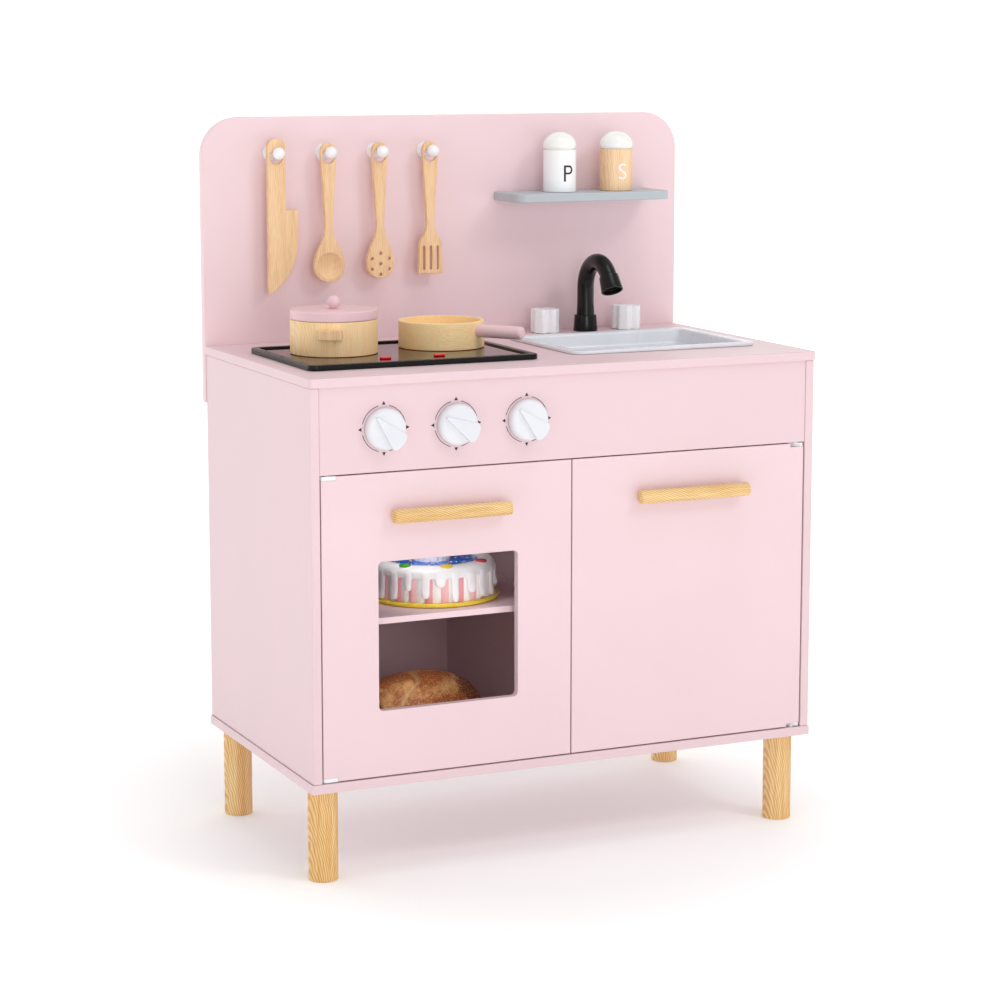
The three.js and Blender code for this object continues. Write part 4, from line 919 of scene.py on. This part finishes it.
# %% Outlines of the utensils, about the centre of the hanging hole
def curved(start, *pieces, steps=12):
    """An outline from straight and Bezier pieces; each is its control points and then its end."""
    points = [Vector(start)]
    for piece in pieces:
        corners = [points[-1]] + [Vector(p) for p in piece]
        if len(corners) == 2:
            points.append(corners[1])
            continue
        for i in range(1, steps + 1):
            t, row = i / steps, corners
            while len(row) > 1:
                row = [a.lerp(b, t) for a, b in zip(row, row[1:])]
            points.append(row[0])
    return [tuple(p * MM) for p in points]


def mirrored(half):
    """Closes an outline from its right half, drawn from the top middle to the bottom middle."""
    return half[::-1] + [(-x, z) for x, z in half[1:-1]]


def round_head(width, bottom):
    half = width / 2
    middle = bottom + half * 1.02
    return mirrored(curved(
        (0, 15.2), [(7.6, 15.2), (9.6, 10), (9.6, 3)], [(4.7, -74)],
        [(4.2, -86), (5.4, -92), (half * 0.66, -103)],
        [(half * 0.9, middle + half * 0.62), (half, middle + half * 0.36), (half, middle)],
        [(half, middle - half * 0.58), (half * 0.6, bottom), (0, bottom)]))


knife = curved(
    (-10.7, 11), [(-10.7, -151)], [(-10.7, -154.6), (-7.6, -154.6)],
    [(19, -135), (25.6, -118), (25.5, -76)], [(25, -59.5)], [(10.7, -59.5)], [(10.7, 11)],
    [(10.7, 17), (6, 21), (0, 21)], [(-6, 21), (-10.7, 17), (-10.7, 11)])[:-1]
turner = mirrored(curved(
    (0, 15.2), [(7.6, 15.2), (9.6, 10), (9.6, 3)], [(4.7, -74)], [(4.4, -86), (6.5, -91), (9.5, -94.5)],
    [(13.4, -98.5), (13.8, -104)], [(15.4, -137)], [(14.6, -138)], [(0, -138)]))
HOLE_DROP, HEAD_DROP, DRILLING_RING = 4.7, 124.5, 12.2
drillings = [(0, -HEAD_DROP)]
for i in range(6):
    angle = math.radians(60 * i + 90)
    drillings.append((DRILLING_RING * math.cos(angle), DRILLING_RING * math.sin(angle) - HEAD_DROP))
skimmer_holes = [circle(x * MM, z * MM, 1.85 * MM, 16) for x, z in drillings]
slots = [rounded_rect(((x - 1.5) * MM, -133.5 * MM), ((x + 1.5) * MM, -105.5 * MM), [1.4 * MM] * 4, 4)
         for x in (-8.5, 0, 8.5)]
shapes = [("toy_knife", knife, []), ("toy_spoon", round_head(37, -143.5), []),
          ("toy_skimmer", round_head(34, -141), skimmer_holes), ("toy_turner", turner, slots)]
print("outline points:", {name: len(outline) for name, outline, _ in shapes})


# %% Utensils
def area(outline):
    return sum(a[0] * b[1] - b[0] * a[1] for a, b in zip(outline, outline[1:] + outline[:1])) / 2


def shifted(outline, peg, clockwise=False):
    moved = [(peg.x + x, peg.z - HOLE_DROP * MM + z) for x, z in outline]
    return moved[::-1] if (area(moved) > 0) == clockwise else moved


BALL, BALL_OUT = 23 * MM, 17.2 * MM
for (node, outline, holes), peg in zip(shapes, peg_of):
    low, high, _ = box_of(node)
    outlines = [shifted(outline, peg)]
    outlines += [shifted(hole, peg, True) for hole in [circle(0, 0, 7.9 * MM, 48)] + holes]
    piece = link(node + "_look", plate_mesh(outlines, (low.y, high.y), 1.0 * MM, "Y"), utensil_wood)
    if node == "toy_spoon":
        slants = [math.pi * i / 48 for i in range(49)]
        ball = turned_mesh([(BALL * math.sin(a), -BALL * math.cos(a)) for a in slants], 96)
        cutter = put("cutter", ball)
        cutter.location = (peg.x, low.y - BALL_OUT, peg.z - (HOLE_DROP + HEAD_DROP) * MM)
        bowl = piece.modifiers.new("bowl", "BOOLEAN")
        bowl.object, bowl.operation, bowl.solver = cutter, "DIFFERENCE", "EXACT"
        carved = evaluated(piece)
        bpy.data.objects.remove(piece)
        bpy.data.objects.remove(cutter)
        carved.materials.clear()
        piece = link(node + "_look", carved, utensil_wood)
    settle(even_light(piece), node)
print("utensils made")

# %% [markdown]
# **Pot and pan.** Both are turned from solid beech with thick walls. The lid, its ball and the pan's
# handle are painted. The pot's two ears are small blocks glued to its side.


# %% Pot and pan
def vessel(name, node, radius, height, wall, floor, material):
    inside = radius - wall
    profile = [(0, 0), (radius, 0), (radius, height), (inside, height), (inside, floor), (0, floor)]
    foot = foot_of(node)
    piece = turned(name, in_mm(profile), foot, material, 1.0 * MM, 128)
    settle(piece, node)
    return foot


pot_foot = vessel("pot_look", "pot_body", 48, 37.5, 5, 6, pot_wood)
for name, degrees in (("front", -116), ("back", 64)):
    outline = []
    for i in range(13):
        angle = math.radians(-16.5 + 33 * i / 12)
        outline.append((48 * MM * math.cos(angle), 48 * MM * math.sin(angle)))
    block = rounded_rect((40 * MM, -13.5 * MM), (56 * MM, 13.5 * MM), [0, 2.4 * MM, 2.4 * MM, 0], 6)
    outline = [p for p in block if p[0] > 50 * MM] + outline[::-1]
    mesh = plate_mesh([outline], (19 * MM, 30 * MM), 0.9 * MM)
    mesh.transform(Matrix.Translation(pot_foot) @ Matrix.Rotation(math.radians(degrees), 4, "Z"))
    settle(even_light(link("pot_ear_%s_look" % name, mesh, utensil_wood)), "pot_ear_" + name)
profile = [(0, 0), (42.2, 0), (42.2, 4), (48, 4), (48, 14.5), (0, 14.5)]
lid = turned("pot_lid_look", in_mm(profile), foot_of("pot_lid"), pan_pink, 1.3 * MM, 128)
settle(lid, "pot_lid")
profile = [(0, 0), (4.2, 0), (3.9, 0.8)]
for i in range(1, 17):
    angle = math.radians(35 + 145 * i / 16)
    profile.append((7.2 * math.sin(angle), 6.9 - 7.2 * math.cos(angle)))
profile[-1] = (0, 14.1)
ball = turned("lid_ball", in_mm(profile), foot_of("pot_lid_knob"), pan_pink, 0.1 * MM, 48)
settle(ball, "pot_lid_knob")
pan_foot = vessel("pan_look", "pan_body", 48, 30, 4.5, 5, pan_wood)
profile = [(0, 46.9), (7.2, 46.9), (7.2, 101), (6.4, 103), (4.2, 104), (0, 104.2)]
outward = Matrix.Rotation(math.radians(-54), 4, "Z") @ Matrix.Rotation(math.radians(90), 4, "Y")
rod_foot = pan_foot + Vector((0, 0, 20 * MM))
rod = turned("pan_handle_look", in_mm(profile), rod_foot, pan_pink, 0.6 * MM, 48, outward)
settle(rod, "pan_handle")
print("pot at", tuple(round(c, 3) for c in pot_foot), "pan at", tuple(round(c, 3) for c in pan_foot))

# %% [markdown]
# **Shakers.** Two turned bodies with domed caps, which turn in at the bottom over a gap of a millimetre. The
# letters are flat text made a mesh, cut into narrow strips, and then wrapped round the body.


# %% Shakers and their letters
def wrapped_letter(name, letter, size, weight, middle, radius, turn_deg, material):
    """A letter on the side of an upright round body."""
    text = bpy.data.curves.new(letter, "FONT")
    text.body = letter
    text.size = size
    text.align_x = "CENTER"
    text.offset = weight
    text.extrude = 0.0001
    host = put(name, text)
    mesh = evaluated(host)
    bpy.data.objects.remove(host)
    shape = bmesh.new()
    shape.from_mesh(mesh)
    for i in range(-12, 13):
        parts = shape.verts[:] + shape.edges[:] + shape.faces[:]
        bmesh.ops.bisect_plane(shape, geom=parts, plane_co=(i * 0.8 * MM, 0, 0), plane_no=(1, 0, 0))
    for vertex in shape.verts:
        x, z, out = vertex.co
        angle = math.radians(turn_deg) + x / radius
        reach = radius + out
        vertex.co = middle + Vector((reach * math.sin(angle), -reach * math.cos(angle), z))
    return link(name, mesh_from(shape), material)


LETTERS = (("pepper", shaker_white, "P", dark_print, 28 * MM, -0.00012, 12.4, 4),
           ("salt", shaker_wood, "S", white_print, 27 * MM, -0.0002, 13.6, -3))
BODY_RADIUS, CAP_RADIUS, DOME_FROM = 19.3, 19.8, 6.2
for name, body_finish, letter, ink, size, weight, rise, swing in LETTERS:
    foot = foot_of(name + "_shaker_body")
    profile = [(0, 0), (BODY_RADIUS, 0), (BODY_RADIUS, 49), (15.5, 49), (15.5, 46), (0, 46)]
    body = turned(name + "_body_look", in_mm(profile), foot, body_finish, 0.8 * MM, 96)
    settle(body, name + "_shaker_body")
    low, high, _ = box_of(name + "_shaker_cap")
    tall = (high.z - low.z) / MM
    profile = [(0, 0), (14.2, 0), (14.2, 0.9), (16.2, 1.1), (18.2, 2.4), (19.6, 4.6)]
    profile.append((CAP_RADIUS, DOME_FROM))
    for i in range(1, 17):
        angle = math.radians(90 * i / 16)
        height = DOME_FROM + (tall - DOME_FROM) * math.sin(angle)
        profile.append((CAP_RADIUS * math.cos(angle), height))
    profile[-1] = (0, tall)
    base = foot_of(name + "_shaker_cap")
    cap = turned(name + "_cap_look", in_mm(profile), base, cap_white, 0.5 * MM, 96)
    settle(cap, name + "_shaker_cap")
    middle = foot + Vector((0, 0, rise * MM))
    radius = BODY_RADIUS * MM
    mark = wrapped_letter(name + "_letter", letter, size, weight, middle, radius, swing, ink)
    settle(mark, name + "_shaker_body", replace=False)
print("shakers lettered P and S")

# %% [markdown]
# **Toy cake.** The cake's side is fluted in pink and white. Icing covers its rim and runs down in drips
# of different lengths, its top is a blue dip with sprinkles round a ribbed tier, and flat sweets lie on
# the rim. The drips are part of the icing's own surface, so the disc tree only scatters the sprinkles,
# and the ring tree sets sugar sticks round the tier.

# %% Striped finish of the cake's side
cake_foot = foot_of("toy_cake")
FLUTES = 48
stripe_paint, tree, surface, place = new_material("cake_stripes", 0.3)
local = add(tree, "ShaderNodeMapping", {"Vector": place, "Location": cake_foot}, vector_type="TEXTURE")
wheel = add(tree, "ShaderNodeTexGradient", {"Vector": local.outputs[0]}, gradient_type="RADIAL")
turn_value = wheel.outputs[1]
part = maths(tree, "FRACT", maths(tree, "MULTIPLY", turn_value, FLUTES / 2))
pinkness = maths(tree, "LESS_THAN", part, 0.5)
deep = maths(tree, "FRACT", maths(tree, "MULTIPLY", turn_value, FLUTES / 4))
pinks = mixed(tree, maths(tree, "LESS_THAN", deep, 0.5), tone(246, 190, 194), tone(238, 160, 168))
striped = mixed(tree, pinkness, tone(250, 246, 246), pinks)
skin = use_group(tree, mould_group, {"Place": place, "Sheen": 0.3})
dress(tree, surface, striped, skin.outputs["Roughness"], skin.outputs["Height"], 0.00003)
print("stripes:", FLUTES)

# %% Cake body, plate, dip and tier
shape = bmesh.new()
rows = []
around = FLUTES * 8
for height, inset in ((4, 0.6), (6, 0), (30, 0), (36.5, 0.5), (38.2, 4)):
    row = []
    for i in range(around):
        a = 2 * math.pi * i / around
        radius = (67.2 + 1.3 * abs(math.sin(FLUTES * a / 2)) - inset) * MM
        row.append(shape.verts.new((radius * math.cos(a), radius * math.sin(a), height * MM)))
    rows.append(row)
join_rows(shape, rows)
shape.faces.new(rows[0][::-1])
shape.faces.new(rows[-1])
shape.transform(Matrix.Translation(cake_foot))
settle(link("cake_side", mesh_from(shape), stripe_paint), "toy_cake")


def cake_part(name, profile, material, edge=1.0 * MM):
    piece = turned(name, in_mm(profile), cake_foot, material, edge, 128)
    return settle(piece, "toy_cake", replace=False)


rim = [(0, 0), (72.4, 0), (74, 1.2), (74, 3.2), (72.8, 4.4), (66, 4.4), (0, 4.4)]
cake_part("cake_plate", rim, ring_yellow)
cake_part("cake_dip", [(0, 38.4), (52, 38.4), (52, 40), (0, 40)], dip_blue, 0.2 * MM)
ribs = []
for i in range(160):
    a = 2 * math.pi * i / 160
    radius = (19.6 + 0.8 * abs(math.sin(10 * a))) * MM
    ribs.append((cake_foot.x + radius * math.cos(a), cake_foot.y + radius * math.sin(a)))
tier = plate("cake_tier", [ribs], (cake_foot.z + 39 * MM, cake_foot.z + 59 * MM), 1.6 * MM, icing_white)
settle(tier, "toy_cake", replace=False)
rim = [(0, 55), (19, 55), (20.5, 56.4), (20.5, 59), (18, 61), (0, 61)]
cake_part("cake_tier_icing", rim, icing_white)
print("cake side, plate, dip and tier made")

# %% Icing that covers the rim and runs down in drips
DRIPS, VALLEY, RIM = 24, 31.0, 69.6
chance = random.Random(11)
drips = []
for i in range(DRIPS):
    angle = math.radians(360 / DRIPS * i + chance.uniform(-2, 2))
    drips.append((angle, chance.uniform(3.2, 5.8), chance.choice((4.2, 6, 9, 13, 17, 21))))


def icing_edge(angle):
    """The height of the icing's lower edge, and how far into a drip the angle is, 0 to 1."""
    lowest, inside = VALLEY, 0.0
    for spot, half, end in drips:
        gap = abs((angle - spot + math.pi) % (2 * math.pi) - math.pi) * RIM / half
        if gap < 1:
            lift = math.sqrt(1 - gap * gap)
            if end + half * (1 - lift) < lowest:
                lowest, inside = end + half * (1 - lift), lift
        elif gap < 1.5:
            lowest = min(lowest, VALLEY - 3 * (1.5 - gap) ** 2 / 0.25)
    return lowest, inside


shape = bmesh.new()
columns = []
for i in range(960):
    a = 2 * math.pi * i / 960
    edge, inside = icing_edge(a)
    section = [(50.5, 39.4), (50.5, 41.6), (52.5, 42.9), (58, 43.1), (64, 42.4), (68, 40.3), (RIM, 37.4)]
    for k in range(9):
        z = 36 + (edge + 1.4 - 36) * k / 8
        swell = inside * (1.0 + 1.9 * math.exp(-(((z - edge - 3.4) / 4.5) ** 2)))
        section.append((69.7 + swell, z))
    section += [(69.3 + 0.8 * inside, edge + 0.5), (68.4, edge), (66.0, edge + 0.8)]
    east, north = MM * math.cos(a), MM * math.sin(a)
    columns.append([shape.verts.new((r * east, r * north, z * MM)) for r, z in section])
for one, two in zip(columns, columns[1:] + columns[:1]):
    for k in range(len(one)):
        j = (k + 1) % len(one)
        shape.faces.new((one[k], two[k], two[j], one[j]))
shape.transform(Matrix.Translation(cake_foot))
settle(link("cake_icing", mesh_from(shape), icing_white), "toy_cake", replace=False)
print("icing with", DRIPS, "drips")


# %% Sprinkles and sweets
def darker(colour):
    return tuple(c * 0.9 for c in colour[:3]) + (1,)


bit_profile = [(0, -1.4), (0.45, -1.2), (0.6, -0.8), (0.6, 0.8), (0.45, 1.2), (0, 1.4)]
lying = Matrix.Rotation(math.radians(90), 4, "X")
bit = put("bit", turned_mesh(in_mm(bit_profile), 6, lying))
for name, colour, seed in (("red", tone(216, 52, 46), 1), ("yellow", tone(246, 206, 60), 2),
                           ("green", tone(92, 178, 92), 3), ("white", tone(246, 246, 246), 4)):
    sugar = moulded("sprinkle_" + name, colour, darker(colour), 0.25)
    values = {"Shape": bit, "Outer": 48 * MM, "Inner": 23 * MM, "Density": 3600.0, "Seed": seed,
              "Material": sugar}
    place = Matrix.Translation(cake_foot + Vector((0, 0, 40.2 * MM)))
    settle(grow("cake_sprinkles_" + name, scatter_tree, values, place), "toy_cake", replace=False)
bpy.data.objects.remove(bit)
STICKS = (("blue", tone(44, 92, 176), 0.2, 9), ("rose", tone(206, 70, 84), 0.5, 7))
for name, colour, first, count in STICKS:
    sugar = moulded("sugar_" + name, colour, darker(colour), 0.25)
    stick = put("stick", turned_mesh([(r * 1.5 * MM, h * 1.6 * MM) for r, h in bit_profile], 8))
    values = {"Shape": stick, "Count": count, "Radius": 20.0 * MM, "First Turn": first, "Shortest": 0.6,
              "Seed": 2, "Material": sugar}
    place = Matrix.Translation(cake_foot + Vector((0, 0, (47 + 8 * first) * MM)))
    settle(grow("cake_sugar_" + name, ring_tree, values, place), "toy_cake", replace=False)
    bpy.data.objects.remove(stick)
SWEETS = (("green", -142, (72, 164, 62)), ("yellow", -98, (244, 206, 46)), ("red", -50, (206, 62, 66)),
          ("orange", 0, (236, 140, 60)), ("violet", 48, (140, 104, 190)), ("blue", 100, (64, 128, 208)),
          ("pink", 160, (236, 130, 160)))
for name, degrees, colour in SWEETS:
    a = math.radians(degrees)
    spot = cake_foot + Vector((60 * MM * math.cos(a), 60 * MM * math.sin(a), 42 * MM))
    finish = moulded("sweet_" + name, tone(*colour), tone(*[c * 0.94 for c in colour]), 0.2)
    profile = [(0, 0), (6.2 * MM, 0), (6.6 * MM, 1 * MM), (5.6 * MM, 2.4 * MM), (0, 2.9 * MM)]
    settle(turned("cake_sweet_" + name, profile, spot, finish, 0.5 * MM, 40), "toy_cake", replace=False)
print("sprinkles, sugar sticks and", len(SWEETS), "sweets made")

# %% [markdown]
# **Toy loaf.** A domed loaf that browned unevenly: dark on its ridges and pale where the baker's knife
# opened the crust. The dome is a squashed ball with a flat base, the cuts are pressed into it, and small
# noise breaks the surface.

# %% Loaf
low, high, centre = box_of("toy_bread")
centre_of_loaf = centre
half_x, half_y, tall = (high.x - low.x) / 2, (high.y - low.y) / 2, high.z - low.z
CUTS = [((-0.5, -0.8), (-0.1, -0.42)), ((-0.1, -0.42), (-0.04, 0.3)), ((0.35, 0.7), (0.7, 0.15))]


def cut_depth(u, v):
    """How near a point of the top is to one of the slanting cuts, 0 to 1."""
    best = 0.0
    for (ax, ay), (bx, by) in CUTS:
        one, two, here = Vector((ax, ay)), Vector((bx, by)), Vector((u, v))
        t = max(0.0, min(1.0, (here - one).dot(two - one) / (two - one).length_squared))
        gap = (here - one.lerp(two, t)).length
        best = max(best, 1 - gap / 0.08)
    return max(best, 0.0)


shape = bmesh.new()
rows = []
ROUNDS, RISES = 120, 48
for k in range(RISES):
    lift = math.pi / 2 * k / RISES
    row = []
    for i in range(ROUNDS):
        a = 2 * math.pi * i / ROUNDS
        u, v = math.cos(lift) ** 0.85 * math.cos(a), math.cos(lift) ** 0.85 * math.sin(a)
        z = 0.24 + 0.76 * math.sin(lift) ** 0.95
        dent = cut_depth(u, v) * 0.07
        spot = Vector((u * half_x, v * half_y, (z - dent) * tall))
        rough = 1 + 0.012 * noise.noise(spot * 60) + 0.004 * noise.noise(spot * 320)
        spot = Vector((spot.x * rough * 0.985, spot.y * rough * 0.985, spot.z * 0.985))
        row.append(shape.verts.new(spot))
    rows.append(row)
for scale, z in ((0.94, 0.1), (0.82, 0.0)):
    turns = [2 * math.pi * i / ROUNDS for i in range(ROUNDS)]
    wide, deep = scale * half_x, scale * half_y
    rows.insert(0, [shape.verts.new((wide * math.cos(a), deep * math.sin(a), z * tall)) for a in turns])
join_rows(shape, rows)
shape.faces.new(rows[0][::-1])
top = shape.verts.new((0, 0, 0.985 * tall))
for i in range(ROUNDS):
    shape.faces.new((rows[-1][i], rows[-1][(i + 1) % ROUNDS], top))
shape.transform(Matrix.Translation((centre.x, centre.y, low.z)))

crust, tree, surface, place = new_material("bread_crust")
patches = add(tree, "ShaderNodeTexNoise", {"Vector": place, "Scale": 30.0, "Detail": 5.0, "Roughness": 0.65})
browned = add(tree, "ShaderNodeTexNoise", {"Vector": place, "Scale": 23.0, "Detail": 3.0})
specks = add(tree, "ShaderNodeTexNoise", {"Vector": place, "Scale": 430.0, "Detail": 3.0})
baked = mixed(tree, spread(tree, patches.outputs[0], 0.44, 0.58), tone(184, 98, 46), tone(232, 176, 112))
baked = mixed(tree, spread(tree, browned.outputs[0], 0.54, 0.62), baked, tone(132, 70, 42))
flour = maths(tree, "MULTIPLY", spread(tree, specks.outputs[0], 0.5, 0.66), 0.5)
baked = mixed(tree, flour, baked, tone(244, 210, 150))
opened = add(tree, "ShaderNodeAttribute", attribute_name="opened", attribute_type="GEOMETRY").outputs["Fac"]
pale = maths(tree, "MULTIPLY", spread(tree, opened, 0.3, 0.9), 0.6)
baked = mixed(tree, pale, baked, tone(240, 204, 146))
dullness = spread(tree, patches.outputs[0], 0.35, 0.7, 0.42, 0.75)
dress(tree, surface, baked, dullness, specks.outputs[0], 0.0012)
loaf = settle(link("bread_look", mesh_from(shape), crust), "toy_bread")
mask = loaf.data.attributes.new("opened", "FLOAT", "POINT")
for vertex, value in zip(loaf.data.vertices, mask.data):
    value.value = cut_depth((vertex.co.x - centre.x) / half_x, (vertex.co.y - centre.y) / half_y)
print("loaf:", len(loaf.data.polygons), "faces")

# %% [markdown]
# **The back.** Nobody plays behind the kitchen, but the object is seen from all sides. Small zinc screws
# hold the splashback to the side panels and the back board to the carcass, and rows of them are grown
# along the boards.

# %% Screws
low, high, _ = box_of("splashback")
head = [(0, -0.4), (3.6, -0.4), (3.6, 0.05), (2.9, 0.7), (0.9, 0.8), (0.9, 0.2), (0, 0.2)]
backward = Matrix.Rotation(math.radians(-90), 4, "X")
screw = put("screw", turned_mesh(in_mm(head), 20, backward))
ROWS = [
    ("splash_screws_left", (-295 * MM, high.y, low.z + 14 * MM), (0, 0, 34 * MM), 2, "splashback"),
    ("splash_screws_right", (295 * MM, high.y, low.z + 14 * MM), (0, 0, 34 * MM), 2, "splashback"),
    ("splash_screws_middle", (-180 * MM, high.y, low.z + 60 * MM), (120 * MM, 0, 0), 4, "splashback"),
    ("back_screws_low", (-270 * MM, box_of("cabinet_back")[1].y, 120 * MM), (135 * MM, 0, 0), 5,
     "cabinet_back"),
]
for name, start_at, step_by, count, node in ROWS:
    values = {"Shape": screw, "Count": count, "Step": step_by, "Material": zinc}
    piece = grow(name, row_tree, values, Matrix.Translation(start_at))
    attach(piece, body_of[node])
bpy.data.objects.remove(screw)
print("screw rows:", len(ROWS))

# %% [markdown]
# **Studio.** A pale floor sweeps up behind the object. It glows a little, and more with distance, so that
# it goes to plain white away from the object. A key light stands at the front right, with softer lights
# above, in front and on the left, and an even white surround. Two small spots at the oven's window light
# the cake and the loaf, which would be dark otherwise.

# %% Floor, backdrop and lights
floor_paint, tree, surface, place = new_material("studio_floor", 0.9)
faint = add(tree, "ShaderNodeTexNoise", {"Vector": place, "Scale": 1.5, "Detail": 2.0})
shade = spread(tree, faint.outputs[0], 0.3, 0.7)
pale = mixed(tree, shade, (0.93, 0.93, 0.93, 1), (0.95, 0.95, 0.95, 1))
tree.links.new(pale, surface.inputs["Base Color"])
surface.inputs["Specular IOR Level"].default_value = 0.1
surface.inputs["Emission Color"].default_value = (1, 1, 1, 1)
distance = add(tree, "ShaderNodeVectorMath", {0: place}, operation="LENGTH").outputs["Value"]
tree.links.new(spread(tree, distance, 0.3, 0.9, 0.11, 0.46), surface.inputs["Emission Strength"])
shape = bmesh.new()
rows = []
profile = [(-16.0, 0.0), (3.0, 0.0)]
for i in range(1, 13):
    a = math.radians(90 * i / 12)
    profile.append((3.0 + 2.5 * math.sin(a), 2.5 - 2.5 * math.cos(a)))
profile.append((5.5, 12.0))
for y, z in profile:
    rows.append([shape.verts.new((x, y, z)) for x in (-16.0, 16.0)])
for near, far in zip(rows, rows[1:]):
    shape.faces.new((near[0], near[1], far[1], far[0]))
link("studio_floor", plain_mesh(shape), floor_paint)

world = bpy.data.worlds.new("surround")
world.use_nodes = True
glow = world.node_tree.nodes["Background"].inputs
glow["Color"].default_value = (1.0, 0.995, 0.99, 1.0)
glow["Strength"].default_value = 0.58
scene.world = world


def hang(name, lamp, place, target):
    """Puts a light at a place, aimed at a target."""
    holder = put(name, lamp)
    holder.location = place
    aim = target - place
    holder.rotation_euler = aim.to_track_quat("-Z", "Y").to_euler()
    holder.visible_camera = False


def soft_light(name, place, size, power):
    lamp = bpy.data.lights.new(name, "AREA")
    lamp.shape, lamp.size, lamp.energy = "DISK", size, power
    hang(name, lamp, Vector(place), Vector((0, 0, 0.45)))


soft_light("key", (1.5, -2.4, 2.8), 1.0, 19.5)
soft_light("top", (0.2, -0.9, 3.2), 1.6, 13)
soft_light("front", (-0.5, -3.2, 0.9), 1.2, 13)
soft_light("side", (-3.0, -1.0, 1.2), 1.8, 4.5)
low, high, _ = box_of("oven_door")
for name, target, top, power in (("cake_glow", cake_foot, high.z - 0.015, 0.6),
                                 ("loaf_glow", centre_of_loaf, box_of("oven_shelf")[0].z - 0.01, 0.28)):
    lamp = bpy.data.lights.new(name, "SPOT")
    lamp.energy, lamp.shadow_soft_size = power, 0.03
    lamp.spot_size, lamp.spot_blend = math.radians(95), 1.0
    hang(name, lamp, Vector((target.x - 0.05, high.y + 0.03, top)), target + Vector((0, 0.01, 0.02)))
scene.view_settings.view_transform = "Standard"
print("studio ready")
